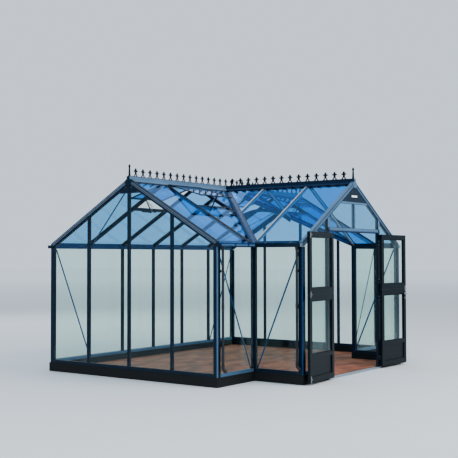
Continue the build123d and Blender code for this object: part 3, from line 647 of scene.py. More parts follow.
def moulded(name, colour, rough=0.55):
    """Rubber and plastic with a fine moulded texture."""
    f = Finish(name)
    grain, bloom = f.noise(520, 3), f.noise(14, 4)
    tone = f.blend((bloom * 0.7 - 0.15).clamped(), colour, lighter(colour, 2.6))
    return f.end(f.shader(Base_Color=tone, Roughness=(bloom * 0.2 + rough - 0.1).clamped(),
                          Normal=f.bump(grain, 0.0002, 0.35)))


def studio_floor(name, colour):
    """Pale floor that grows lighter far away, so that it meets the backdrop softly."""
    f = Finish(name)
    x, y, _ = f.axes()
    far = (((x * x + y * y) ** 0.5 - 7.0) / 45.0).clamped()
    tone = f.blend(f.noise(0.7, 3), lighter(colour, 0.98), lighter(colour, 1.02))
    return f.end(f.shader(Base_Color=f.blend(far, tone, (0.95, 0.95, 0.95)), Roughness=0.9, Specular_IOR_Level=0.1))


FINISHES = {}
FINISHED_NODES = {
    "wall_glass": ("back_wall_glass", "front_wall_glass", "left_gable_glass", "right_gable_glass", "wing_side_glass",
                   "wing_front_glass", "left_leaf_glass", "right_leaf_glass"),
    "roof_glass": ("back_slope_glass", "front_slope_glass", "wing_slope_glass", "roof_window_glass"),
    # Lighter copy of the anthracite coat on these parts: painted sky light.
    "roof_paint": ("valleys", "front_gutters", "back_gutter", "braces"),
    # Pale copy of the anthracite coat on these parts: painted light where the faces catch it.
    "sky_paint": ("door_head", "wing_gable_rafters", "sill_rails_fronts"),
    # Lighter copy of the anthracite coat: a painted highlight on the main ridge.
    "ridge_paint": ("ridge_main",),
    # Darker copy of the anthracite coat: painted shade on the leaf frames.
    "leaf_paint": ("left_leaf_frame", "right_leaf_frame"),
    "plinth": ("base_sides", "base_fronts"),
    "sand": ("floor",),
    # Bright metal on the wing's bar caps is partly painted sunlight; the threshold's is bare metal.
    "cap": ("wing_slope_bars", "door_threshold"),
    "steel": ("left_leaf_fittings", "right_leaf_fittings"),
    "pipe": ("downpipes",),
}


class GREENHOUSE_OT_finishes(bpy.types.Operator):
    """Make the finishes and put them on every part of the frame"""

    bl_idname = "greenhouse.finishes"
    bl_label = "Finishes"

    def execute(self, context):
        colours, trim = context.scene.greenhouse_finishes, context.scene.greenhouse_trim
        FINISHES.update(
            paint=painted("powder_coat", colours.paint),
            # The next four coats are lighter copies of the same anthracite powder coat, painted light; the fifth, a
            # darker copy, is painted shade.
            roof_paint=painted("roof_powder_coat", colours.roof_paint, 0.0, 0.28, 0.2),
            sky_paint=painted("lit_powder_coat", colours.lit_paint, 0.0, 0.30, 0.2),
            ridge_paint=painted("ridge_powder_coat", colours.ridge_paint, 0.0, 0.30, 0.2),
            pale_paint=painted("pale_powder_coat", colours.pale_paint, 0.0, 0.30, 0.2),
            leaf_paint=painted("leaf_powder_coat", colours.leaf_paint, 0.6, 0.32),
            plinth=painted("plinth_coat", colours.plinth, 1.0, 0.5),
            label=moulded("bare_plate", (0.80, 0.81, 0.80), 0.4),
            cap=bright_cap("bright_cap", colours.cap),
            # Both glasses colour their gloss with a tint, a painted sky reflection; the roof glass's strong blue
            # see-through tint partly paints that reflection too.
            wall_glass=pane_glass("wall_glass", colours.glass_tint, (0.72, 0.90, 0.96), 0.03, 0.014),
            roof_glass=pane_glass("roof_glass", colours.roof_tint, (0.30, 0.58, 0.95), 0.04, 0.030),
            clay=fired_clay("fired_clay", colours.tile, trim.brick_length, trim.brick_width),
            sand=jointing("joint_sand", colours.grout),
            steel=metal("bright_metal", colours.steel),
            dull=metal("dull_metal", lighter(colours.steel, 0.32), 0.38),
            pipe=pipe_finish("pipe_finish", colours.pipe, colours.rubber),
            rubber=moulded("seal_rubber", colours.rubber),
            plastic=moulded("black_plastic", lighter(colours.rubber, 0.9), 0.4),
        )
        special = {name: finish for finish, names in FINISHED_NODES.items() for name in names}
        for name, node in NODES.items():
            node.data.materials.clear()
            node.data.materials.append(FINISHES[special.get(name, "paint")])
        return {"FINISHED"}


def ornament_outline():
    """The cast ridge ornament: a forked foot, a waist with small shoulders, two lobes and a pointed head."""
    half = mm(36, 0, 35.6, 6, 30, 12.5, 23.5, 20.5, 18.5, 28, 15.5, 34, 14.8, 38.5, 17.8, 43, 19, 48, 16.5, 53,
              15.5, 57, 18, 59, 25, 58.2, 33, 60, 38.8, 65, 40.5, 71.2, 38.2, 76.8, 32.5, 79.6, 26.2, 79, 21.2, 75.5,
              17.2, 75.2, 16, 78.5, 18.2, 83, 19.2, 87, 18.2, 91.2, 15, 96, 9.8, 102, 4.2, 107.8)
    notch = mm(0, 23.2, 3.6, 22, 7.2, 18, 10.6, 12, 12.6, 6, 13, 0)
    other_half, other_notch = ([(-x, z) for x, z in points[::-1]] for points in (half, notch[1:]))
    return half + mm(0, 111) + other_half + other_notch + notch


class GREENHOUSE_OT_cresting(bpy.types.Operator):
    """Set the cast ornaments along both ridges and a spire on each gable"""

    bl_idname = "greenhouse.cresting"
    bl_label = "Ridge cresting"

    def execute(self, context):
        trim = context.scene.greenhouse_trim
        pitch, half, strip_high = trim.ornament_pitch, trim.ornament_thickness / 2, 0.008
        cast = sample(Stock().plate(GROUND, ornament_outline(), -half, half), "ornament_source")
        pattern = Pattern("Cresting", Part="Object", Pitch="Float", Turn="Float")
        pattern.close(pattern.row(pattern.node("ShaderNodeCombineXYZ", {2: pattern.given["Turn"]})))
        for name, way, low, run, turned in (("main", (1, 0, 0), DEPTH - LONG, 2 * (LONG - DEPTH), 0.0),
                                            ("wing", (0, -1, 0), half, FRONT - DEPTH - half, math.pi / 2)):
            row = (run // pitch - 1) * pitch
            first = low + (run - row) / 2
            ends = [Vector(way) * reach + Vector((0, 0, CAP + strip_high)) for reach in (first, first + row)]
            # The cresting, its strips and the spires take the darker copy of the coat: painted shade.
            pattern.make(carrier_mesh(name, ends, [(0, 1)]), f"cresting_{name}", "leaf_paint",
                         Part=cast, Pitch=pitch, Turn=turned)
        bpy.data.objects.remove(cast)
        strips = Stock()
        for thick, high, chamfer in ((half, strip_high, 0.0008), (0.008, 0.0025, 0)):
            strips.box(GROUND, DEPTH - LONG, LONG - DEPTH, -thick, thick, CAP, CAP + high, chamfer)
            strips.box(GROUND, -thick, thick, DEPTH - FRONT, -thick, CAP, CAP + high, chamfer)
        strips.piece("cresting_strips", "leaf_paint")
        spire = mm(20, 0, 20, 7, 17.5, 10, 16.8, 16, 15, 21, 14, 34, 12.8, 70, 11.2, 104, 10.2, 121, 14, 126,
                   16.4, 132, 16.8, 138, 14.2, 145, 9.6, 150, 6, 156, 1, 165)
        spires = Stock()
        for x, y in ((DEPTH / 2 - LONG, 0), (LONG - DEPTH / 2, 0), (0, DEPTH / 2 - FRONT)):
            spires.turned(shift(x, y, CAP), spire, 18)
        spires = spires.piece("gable_spires", "leaf_paint", smooth=True)
        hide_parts("ridge_ornaments")
        return {"FINISHED"}


class GREENHOUSE_OT_floor_bricks(bpy.types.Operator):
    """Lay the bricks of the floor in half bond"""

    bl_idname = "greenhouse.floor_bricks"
    bl_label = "Floor bricks"

    def execute(self, context):
        trim = context.scene.greenhouse_trim
        length, width, joint, thick = trim.brick_length, trim.brick_width, trim.joint, 0.006
        inner = DEPTH + 0.006
        fields = ((inner - LONG, LONG - inner, inner - WIDE, WIDE - inner),
                  (inner - WING, WING - inner, inner - FRONT, inner - WIDE))
        points, sizes = [], []
        for row in range(math.floor(-FRONT / width), math.ceil(WIDE / width)):
            for left, right, low, high in fields:
                y0, y1 = max(row * width, low), min((row + 1) * width, high)
                if y1 - y0 < 0.02:
                    continue
                for column in range(math.floor(left / length + row / 2), math.ceil(right / length + row / 2)):
                    x0 = max((column - row / 2) * length, left)
                    x1 = min((column + 1 - row / 2) * length, right)
                    if x1 - x0 > 0.015:
                        points.append(((x0 + x1) / 2, (y0 + y1) / 2, FLOOR))
                        sizes.append((x1 - x0 - joint, y1 - y0 - joint, thick))
        pattern = Pattern("Floor bricks", Crown="Float")
        cube = pattern.node("GeometryNodeMeshCube", {"Size": (1, 1, 1)})
        raised = pattern.node("GeometryNodeTransform", {"Geometry": cube, "Translation": (0, 0, 0.5)})
        least, most = (-0.002, -0.002, -0.004), (0.002, 0.002, 0.004)
        tilt = pattern.node("FunctionNodeRandomValue", {0: least, 1: most, "Seed": 7}, data_type="FLOAT_VECTOR")
        laid = pattern.node("GeometryNodeInstanceOnPoints", {
            "Points": pattern.given["Carrier"], "Instance": raised, "Rotation": tilt, "Scale": pattern.own_vector()})
        up = pattern.node("ShaderNodeSeparateXYZ", {0: pattern.node("GeometryNodeInputNormal")}).outputs[2]
        top = pattern.node("FunctionNodeCompare", {0: up, 1: 0.5}, data_type="FLOAT", operation="GREATER_THAN")
        crown = pattern.node("GeometryNodeExtrudeMesh", {
            "Mesh": pattern.node("GeometryNodeRealizeInstances", {0: laid}), "Selection": top,
            "Offset Scale": pattern.given["Crown"], "Individual": True}, mode="FACES")
        pattern.close(pattern.node("GeometryNodeScaleElements", {
            "Geometry": crown, "Selection": crown.outputs["Top"], "Scale": 0.965}))
        bricks = carrier_mesh("bricks", points, vectors=sizes)
        pattern.make(bricks, "floor_bricks", "clay", "terracotta_tiles", Crown=0.0018)
        return {"FINISHED"}


class GREENHOUSE_OT_glazing_seals(bpy.types.Operator):
    """Press a rubber seal round every fixed pane, along bars, posts, rails and valleys"""

    bl_idname = "greenhouse.glazing_seals"
    bl_label = "Glazing seals"

    def execute(self, context):
        trim = context.scene.greenhouse_trim
        outer, inner = Stock(), Stock()
        for lights, foot in ((wall_lights(), -1), (roof_lights(), 0.02)):
            for place, spot, outline in spread(lights):
                width = trim.roof_seal_width if place in (FRONT_ROOF, BACK_ROOF) else trim.seal_width
                outer.frame(spot, outline, 0, width, 0.0014, LIP, foot)
                inner.frame(spot, outline, -0.002, trim.seal_width, PANE_BACK, PANE_BACK + 0.0025, foot)
        for roof in (FRONT_ROOF, BACK_ROOF):
            for spot in sides(roof @ VENT_SWING):
                opening = rectangle(-2 * BAY + 0.034, -BAY - 0.034, VENT_LOW + 0.030, VENT_TOP - 0.030)
                outer.frame(spot, opening, 0, trim.seal_width, -0.0105, -0.008)
        outer.piece("outer_seals", "rubber")
        inner.piece("inner_seals", "rubber")
        return {"FINISHED"}


def screw_rows():
    """Rows of screws on outer faces: place, first and last point, and whether both halves have them."""
    skirt = 0.02
    rows = [(FRONT_ROOF, (-2 * BAY, 0, 0.05), (-2 * BAY, 0, VENT_LOW - 0.02), True),
            (FRONT_ROOF, (-BAY, 0, 0.91), (-BAY, 0, VENT_LOW - 0.02), True),
            (WING_ROOF, (BAY, 0, 0.93), (BAY, 0, WING_TOP - 0.03), True),
            (WING_ROOF, (2 * BAY, 0, 0.10), (2 * BAY, 0, WING_TOP - 0.03), True),
            (FRONT_ROOF, (-2.13, -LIP, MAIN_TOP + skirt), (-0.12, -LIP, MAIN_TOP + skirt), True),
            (BACK_ROOF, (-2.13, -LIP, MAIN_TOP + skirt), (2.13, -LIP, MAIN_TOP + skirt), False),
            (WING_ROOF, (0.13, -LIP, WING_TOP + skirt), (2.13, -LIP, WING_TOP + skirt), True),
            (WING_FRONT, (-0.66, 0, LINTEL + 0.022), (-0.05, 0, LINTEL + 0.022), True),
            (WING_FRONT, (-JAMB_MIDDLE, 0, 0.22), (-JAMB_MIDDLE, 0, 2.04), True),
            (WING_FRONT, (-0.40, 0, COLLAR + 0.013), (-0.04, 0, COLLAR + 0.013), True)]
    for wall, x0, x1, both in ((WING_FRONT, LEG - WING, -JAMB_OUTER, True),
                               (FRONT_WALL, LEG - LONG, -WING - 0.03, True),
                               (WING_SIDE, WIDE + 0.03, FRONT - LEG, True),
                               (BACK_WALL, LEG - LONG, LONG - LEG, False),
                               (LEFT_GABLE, LEG - WIDE, WIDE - LEG, True)):
        rows.append((wall, (x0 + 0.02, 0, SILL_SCREWS), (x1 - 0.02, 0, SILL_SCREWS), both))
    for i in range(-2, 3):
        top = VENT_LOW - 0.02 if i else MAIN_TOP - 0.03
        rows += [(BACK_WALL, (i * BAY, 0, 0.20), (i * BAY, 0, SEAT - 0.03), False),
                 (BACK_ROOF, (i * BAY, 0, 0.05), (i * BAY, 0, top), False)]
    rows += [(LEFT_GABLE, (x, 0, 0.20), (x, 0, top), True) for x, top in ((-BAY, 2.10), (0, 2.40), (BAY, 2.10))]
    return rows


class GREENHOUSE_OT_screws(bpy.types.Operator):
    """Screw the bar caps, ridge skirts, rails and gable rafters down at an even pitch"""

    bl_idname = "greenhouse.screws"
    bl_label = "Screws"

    def execute(self, context):
        trim = context.scene.greenhouse_trim
        domed = ((1, 0), (1, 0.25), (0.78, 0.52), (0.42, 0.56), (0.36, 0.15))
        profile = [(trim.screw_radius * wide, trim.screw_radius * high) for wide, high in domed]
        head = sample(Stock().turned(GROUND, profile, 8), "screw_head")
        lines = [(spot, first, last, (0, -1, 0)) for _, spot, first, last in spread(screw_rows())]
        for roof, end, high in ((FRONT_ROOF, -LONG, 1.60), (BACK_ROOF, LONG, 1.60), (WING_ROOF, FRONT, 1.50)):
            for spot in sides(roof):
                lines.append((spot, (end, 0.041, 0.10), (end, 0.041, high), (math.copysign(1, end), 0, 0)))
        points = [spot @ Vector(point) for spot, *ends, _ in lines for point in ends]
        facing = [spot.to_3x3() @ Vector(way) for spot, *ends, way in lines for _ in ends]
        pattern = Pattern("Screws", Part="Object", Pitch="Float")
        outwards = pattern.node("FunctionNodeAlignRotationToVector", {"Vector": pattern.own_vector()}, axis="Z")
        pattern.close(pattern.row(outwards))
        edges = [(i, i + 1) for i in range(0, len(points), 2)]
        pattern.make(carrier_mesh("screws", points, edges, facing), "screws", "dull", "bright_fittings",
                     Part=head, Pitch=trim.screw_pitch)
        bpy.data.objects.remove(head)
        return {"FINISHED"}


class GREENHOUSE_OT_ridge_trim(bpy.types.Operator):
    """Add the beads along the ridges, the cover plates at the gable tips and the strips beside the valleys"""

    bl_idname = "greenhouse.ridge_trim"
    bl_label = "Ridge trim"

    def execute(self, context):
        self.beads()
        self.tip_covers()
        self.rafter_strips()
        flanges, wide = Stock(), 0.016
        for roof, foot, lean, top in ((FRONT_ROOF, -MAIN_FOOT - wide, MAIN_LEAN, MAIN_TOP),
                                      (WING_ROOF, WING_FOOT, -WING_LEAN, WING_TOP)):
            head = foot + lean * top
            for spot in sides(roof):
                flanges.plate(spot, [(foot, 0), (foot + wide, 0), (head + wide, top), (head, top)], -0.0012, LIP)
        flanges.piece("valley_flanges", "paint")
        return {"FINISHED"}

    def beads(self):
        """Beads along the ridge skirts and the sides of the ridge caps."""
        main, wing = Stock(), Stock()
        for inset in (0.002, 0.026, 0.047):
            main_bead, wing_bead = ([(-LIP - out, top + inset + z) for out, z in mm(0, 0, 2.2, 1.2, 2.2, 3.8, 0, 5)]
                                    for top in (MAIN_TOP, WING_TOP))
            main_end = (SKIRT_OUT - inset * math.cos(MAIN_PITCH)) * WING / WIDE + 0.002
            wing_end = (SKIRT_OUT - inset * math.cos(WING_PITCH)) * WIDE / WING + 0.002
            for spot in sides(FRONT_ROOF):
                main.along(spot, DEPTH - LONG, -main_end, main_bead)
            main.along(BACK_ROOF, DEPTH - LONG, LONG - DEPTH, main_bead)
            for spot in sides(WING_ROOF):
                wing.along(spot, wing_end, FRONT - DEPTH, wing_bead)
        for z in (CAP - 0.006, CAP - 0.028):
            rail = [(RIDGE_HALF + out, z + up) for out, up in mm(0, -2, 2.2, -1.2, 2.2, 1.2, 0, 2)]
            main.along(GROUND, -LONG, LONG, rail)
            for spot in sides(GROUND):
                main.along(spot, -LONG, -RIDGE_HALF, [(-y, z) for y, z in rail])
                wing.along(spot @ turn(-90, "Z"), RIDGE_HALF, FRONT, rail)
        # The main ridge's beads take the lighter ridge copy of the coat, a painted highlight; the wing's take the
        # lighter roof copy, painted sky light.
        main.piece("ridge_beads", "ridge_paint")
        wing.piece("wing_ridge_beads", "roof_paint")

    def tip_covers(self):
        """Cover plates with a rib and three rivets where the gable rafters meet."""
        half = [*mm(46, 2574, 62, 2606, 62, 2616, 26, 2640), (0.0225, CAP)]
        outline = [(0, 2.548), *half, *((-x, z) for x, z in half[::-1])]
        # The wing's tip cover takes the pale lit copy of the coat: painted light on its lit side.
        for place, both, name, finish in ((LEFT_GABLE, True, "gable_tip_covers", "paint"),
                                          (WING_FRONT, False, "wing_tip_cover", "sky_paint")):
            covers = Stock()
            for spot in sides(place, both):
                covers.plate(spot, outline, -0.0075, -LIP)
                covers.box(spot, -0.018, 0.018, -0.0115, -0.0070, 2.590, CAP - 0.001, 0.0015)
                for x, z in mm(-40, 2604, 40, 2604, 0, 2570):
                    covers.knob(spot, x, -0.0075, z, mm(5, 0, 5, 1.2, 3.4, 2.6, 1, 3))
            covers.piece(name, finish)

    def rafter_strips(self):
        """Strips in the grooves of the rafters, from the eave to the ridge: pale painted highlights on the gable
        rafters and dark painted shade on the wing rafters.
        """
        for name, finish, grooves, runs in (
                ("gable_rafter_strips", "pale_paint", mm(10.5, 17, 32.5, 37.5),
                 ((FRONT_ROOF, -LONG, WIDE, MAIN_PITCH), (BACK_ROOF, LONG, WIDE, MAIN_PITCH))),
                ("wing_rafter_strips", "paint", mm(11, 20.5, 55, 63.5), ((WING_ROOF, FRONT, WING, WING_PITCH),))):
            strips = Stock()
            for roof, end, half, pitch in runs:
                for y0, y1 in grooves:
                    lean = (y0 + y1) / 2 * math.tan(pitch)
                    head = (half - RIDGE_HALF) / math.cos(pitch) + lean - 0.052
                    for spot in sides(roof):
                        strips.box(spot, end, end + math.copysign(0.0014, end), y0, y1, lean + 0.002, head)
            strips.piece(name, finish)


class GREENHOUSE_OT_gutter_fittings(bpy.types.Operator):
    """Hang brackets, strips and stop ends on the gutters, and put collars and clips on the downpipes"""

    bl_idname = "greenhouse.gutter_fittings"
    bl_label = "Gutter fittings"

    def execute(self, context):
        brackets, strips, ends = Stock(), Stock(), Stock()
        runs = ((FRONT_WALL, (0.30 - LONG, 0.85 - 3 * BAY, -1.62), -65.5, True),
                (WING_SIDE, (1.62, 1.88), -65.5, True),
                (BACK_WALL, [i * BAY for i in (-2.6, -2, -1, 0, 1, 2, 2.6)], -61.9, False))
        for _, spot, spots, out in spread(runs):
            hook = mm(-0.5, 1728.5, out, 1728.5, out, 1770, -61, 1770, -61, 1730, -0.5, 1730)
            for x in spots:
                brackets.along(spot, x - HOOK_HALF, x + HOOK_HALF, hook)
        line = [(-GUTTER_OUT - out, z) for out, z in mm(0, 1734.5, 2, 1736, 2, 1740, 0, 1741.5)]
        strip = [(-GUTTER_OUT - out, z) for out, z in mm(0, 1744, 1.8, 1744.8, 1.8, 1760, 0, 1760.8)]
        stop = rectangle(-GUTTER_OUT, -0.001, GUTTER_LOW, GUTTER_TOP)
        thin = 0.0018
        for stock, place, x0, x1, section in ((brackets, FRONT_WALL, -LONG, -WING - 0.07, line),
                                              (brackets, WING_SIDE, WIDE + 0.07, FRONT, line),
                                              (brackets, FRONT_WALL, -LONG - thin, -LONG, stop),
                                              (brackets, BACK_WALL, -LONG - thin, -LONG, stop),
                                              (strips, FRONT_WALL, 0.004 - LONG, -WING - 0.075, strip),
                                              (ends, WING_SIDE, FRONT, FRONT + thin, stop)):
            for spot in sides(place):
                stock.along(spot, x0, x1, section)
        collars, clips, reach = Stock(), Stock(), PIPE_OUT + 0.001
        along_y = Matrix(((0, 1, 0, 0), (1, 0, 0, 0), (0, 0, 1, 0), (0, 0, 0, 1)))
        for x, y, way in ((LEG - LONG, -WIDE - PIPE_OUT, GROUND), (-WING - PIPE_OUT, LEG - FRONT, along_y)):
            for half in sides(GROUND):
                spot = half @ shift(x, y, 0)
                collars.turned(spot, mm(18.5, 1690, 20, 1692, 20, 1706, 22.5, 1712, 22.5, 1729.5), 18)
                collars.turned(spot, mm(17.2, 960, 18.8, 962, 18.8, 1015, 17.2, 1017), 18)
                for z in (0.50, 1.42):
                    clips.turned(spot @ shift(0, 0, z), mm(16.5, 0, 18.2, 1.5, 18.2, 14.5, 16.5, 16), 18)
                    clips.box(spot @ way, -0.005, 0.005, 0.014, reach, z + 0.001, z + 0.015, 0.001)
                    clips.box(spot @ way, -0.014, 0.014, reach - 0.004, reach, z - 0.010, z + 0.026, 0.001)
        brackets.piece("gutter_brackets", "paint")
        # The gutter strips take the pale lit copy of the coat: a painted highlight along the front gutters.
        strips.piece("gutter_strips", "sky_paint")
        ends.piece("gutter_stop_ends", "cap")
        collars.piece("pipe_collars", "plastic", smooth=True)
        clips.piece("pipe_clips", "plastic", smooth=True)
        return {"FINISHED"}


class GREENHOUSE_OT_roof_fittings(bpy.types.Operator):
    """Fit the openers and hinges of the roof windows and the clips at the feet of the roof panes"""

    bl_idname = "greenhouse.roof_fittings"
    bl_label = "Roof fittings"

    def execute(self, context):
        steel, dark, clips = Stock(), Stock(), Stock()
        middle, low, deep, hinge = -1.5 * BAY, VENT_LOW + 0.015, 0.058, VENT_TOP + 0.0065
        for roof in (FRONT_ROOF, BACK_ROOF):
            for spot in sides(roof):
                swung = spot @ VENT_SWING
                steel.tube(spot, [(0.02 - 2 * BAY, -0.006, hinge), (-BAY - 0.02, -0.006, hinge)], 0.0030, 8)
                for stock, x0, x1, radius, count in ((dark, -0.012, -0.19, 0.0135, 14),
                                                     (dark, -0.19, -0.21, 0.0085, 10),
                                                     (steel, -0.012, 0.075, 0.0040, 8)):
                    stock.tube(spot, [(middle + x0, deep, low), (middle + x1, deep, low)], radius, count)
                dark.box(spot, middle - 0.03, middle - 0.012, 0.044, 0.075, low - 0.016, low + 0.016, 0.002)
                dark.box(spot, middle + 0.070, middle + 0.086, 0.044, 0.070, low - 0.011, low + 0.011, 0.002)
                for x in (middle - 0.011, middle + 0.011):
                    steel.tube(spot, [(x, deep, low), (x, -0.01, low + 0.05), (x, -0.118, low + 0.005)], 0.0034, 6)
                steel.box(swung, middle - 0.02, middle + 0.02, 0, 0.003, VENT_LOW + 0.004, VENT_LOW + 0.026, 0.0005)
                for x in (0.045 - 2 * BAY, -BAY - 0.045):
                    dark.box(swung, x - 0.014, x + 0.014, -0.0135, -0.012, VENT_TOP - 0.026, VENT_TOP - 0.004, 0.0004)
                    dark.box(swung, x - 0.010, x + 0.010, 0, 0.006, VENT_LOW + 0.006, VENT_LOW + 0.022, 0.001)
        hook = mm(2.5, 4, 2.5, -11.2, 9, -11.2, 9, -9.8, 3.9, -9.8, 3.9, 4)
        for _, spot, outline in spread(roof_lights()):
            feet = [x for x, z in outline if z < 0.02]
            if len(feet) == 2 and abs(feet[1] - feet[0]) > 0.3:
                for share in (0.2, 0.8):
                    x = feet[0] + (feet[1] - feet[0]) * share
                    clips.along(spot, x - HOOK_HALF, x + HOOK_HALF, hook)
        steel.piece("window_opener_rods", "steel", slot="bright_fittings", smooth=True)
        dark.piece("window_openers", "plastic", smooth=True)
        clips.piece("pane_clips", "dull")
        return {"FINISHED"}


class GREENHOUSE_OT_frame_bolts(bpy.types.Operator):
    """Bolt the braces and the tip plates, and put on the bare plate, the drip strip and the post nosings"""

    bl_idname = "greenhouse.frame_bolts"
    bl_label = "Bolts and plates"

    def execute(self, context):
        bolts, bolt = Stock(), mm(10, 0, 10, 1.4, 6.6, 1.5, 6.6, 5.6, 5.2, 6.8, 1, 7)
        slope, top, foot, corner = WIDE / math.cos(MAIN_PITCH), 1.710, 0.140, 0.088
        for place, first, last in ((FRONT_WALL, (LEG - LONG, top), (-WING - 0.009, foot)),
                                   (WING_SIDE, (FRONT - LEG, top), (WIDE + 0.009, foot)),
                                   (BACK_WALL, (LONG - LEG, top), (LONG - BAY, foot)),
                                   (BACK_ROOF, (LONG - corner, slope - corner), (2 * BAY, corner))):
            first, last = Vector(first), Vector(last)
            inset = (last - first).normalized() * 0.022
            for spot in sides(place):
                for point in (first + inset, last - inset, (first + last) / 2):
                    bolts.knob(spot, point.x, 0.048, point.y, bolt, 6, out=1)
        for place, depth, out, spots in ((LEFT_GABLE, LIP, -1, mm(-160, 2468, 160, 2468, -50, 2530, 50, 2530)),
                                         (WING_FRONT, LIP, -1, mm(-270, 2372, -50, 2500)),
                                         (WING_FRONT, DEPTH, 1, mm(-735, 2060, -735, 190))):
            for spot in sides(place):
                for x, z in spots:
                    bolts.knob(spot, x, depth, z, bolt, 6, out)
        bolts.piece("frame_bolts", "dull", slot="bright_fittings")
        label = Stock().box(WING_FRONT, -0.078, 0.078, 0.0028, LIP, 2.4240, 2.4500, 0.0005)
        label.piece("bare_plate", "label", slot="bright_fittings")
        drip, heads = Stock(), Stock()
        outline = rectangle(0.002 - JAMB_OUTER, -DOOR_HALF - 0.002, LINTEL + 0.046, RIDGE)
        for spot in sides(WING_FRONT):
            drip.along(spot, -DOOR_HALF, 0, [(y, LINTEL + z) for y, z in mm(0, 2, -11, 0, -11, 3, 0, 11)])
            heads.plate(spot, under_rafters(outline, WING, WING_PITCH), -0.0012, 0)
        # The drip strip takes the lighter roof copy of the coat, painted sky light; the jamb head strips take the pale
        # lit copy, a painted reflection on the upper jambs.
        drip.piece("door_drip_strip", "roof_paint")
        heads.piece("jamb_head_strips", "sky_paint")
        section = mm(0, 14, -1.6, 13, -1.6, 0.5, -0.8, -1, 0.5, -1.6, 15, -1.6, 16, 0)
        # The front corner nosings take the pale lit copy of the coat, a painted highlight on the chamfered corner; the
        # wing's take the lighter roof copy, painted sky light.
        for x, y, name, finish in ((-LONG, -WIDE, "corner_nosings", "sky_paint"),
                                   (-WING, -FRONT, "wing_corner_nosings", "roof_paint")):
            nosings = Stock()
            for spot in sides(GROUND):
                nosings.solid(spot, [[(x + a, y + b, z) for a, b in section] for z in (PLINTH + 0.001, SEAT)])
            nosings.piece(name, finish)
        return {"FINISHED"}


class GREENHOUSE_OT_threshold(bpy.types.Operator):
    """Lay the ribs of the threshold and the seals of the doorway"""

    bl_idname = "greenhouse.threshold"
    bl_label = "Threshold"

    def execute(self, context):
        ribs, seals, face = Stock(), Stock(), 0.020
        for y in (-0.008, 0.000, 0.008, 0.034, 0.040, 0.046):
            ribs.along(WING_FRONT, 0.004 - JAMB_OUTER, JAMB_OUTER - 0.004,
                       [(y + side, face + up) for side, up in mm(-1.6, 0, -0.8, 1.2, 0.8, 1.2, 1.6, 0)])
        for x in (-0.70, -0.35, 0.0, 0.35, 0.70):
            ribs.turned(WING_FRONT @ shift(x, 0.021, face), mm(4.2, 0, 4.2, 0.8, 2.6, 1.4), 10)
        for spot in sides(WING_FRONT):
            seals.box(spot, -DOOR_HALF, -DOOR_HALF + 0.0035, 0.020, 0.030, 0.022, LINTEL - 0.004)
            seals.box(spot, -DOOR_HALF, 0, 0.020, 0.030, LINTEL - 0.010, LINTEL)
        ribs.piece("threshold_ribs", "cap", slot="bright_fittings")
        seals.piece("doorway_seals", "rubber")
        return {"FINISHED"}


class GREENHOUSE_OT_leaf_trim(bpy.types.Operator):
    """Bead and seal the panes of both door leaves, and fit their brushes and weather bars"""

    bl_idname = "greenhouse.leaf_trim"
    bl_label = "Leaf trim"

    def execute(self, context):
        (x0, x1), bead = LEAF_EDGES, 0.010
        for name, half in (("right", GROUND), ("left", MIRROR)):
            place, beads, seals = half @ SWUNG @ WING_FRONT, Stock(), Stock()
            for edges, *levels in ((LEAF_LIGHTS[0], 0.008, 0.020), (LEAF_LIGHTS[1], 0.008, 0.020),
                                   (LEAF_KICK, 0.006, 0.022)):
                for y in levels:
                    beads.frame(place, rectangle(*edges), 0, bead, y, y + 0.008)
            for edges in LEAF_LIGHTS:
                for y0, y1 in ((0.0138, 0.0160), (0.0200, 0.0222)):
                    seals.frame(place, rectangle(*edges), bead, 0.0025, y0, y1)
            beads.along(place, x0 + 0.004, x1 - 0.004, mm(0, 36, -12, 36, -12, 39, 0, 54))
            for z in (1.062, 1.118, 1.142, 1.198):
                for y, out in ((0, -0.0012), (LEAF_BACK, 0.0012)):
                    beads.box(place, x0 + 0.066, x1 - 0.066, y, y + out, z - 0.0015, z + 0.0015)
            seals.box(place, x0 + 0.004, x1 - 0.004, 0.013, 0.023, 0.0222, 0.030)
            seals.box(place, x0 + 0.002, x1 - 0.002, 0.003, 0.033, 1.127, 1.133)
            if name == "right":
                seals.box(place, 0.0004, 0.003, 0.010, 0.026, 0.034, 1.918)
            # The beads take the darker leaf copy of the coat: painted shade.
            beads.piece(f"{name}_leaf_beads", "leaf_paint", f"{name}_leaf")
            seals.piece(f"{name}_leaf_seals", "rubber", f"{name}_leaf")
        return {"FINISHED"}


HINGE_SCREW = mm(3.8, 0, 3.6, 0.6, 1.6, 0.8, 1.2, 0.3)


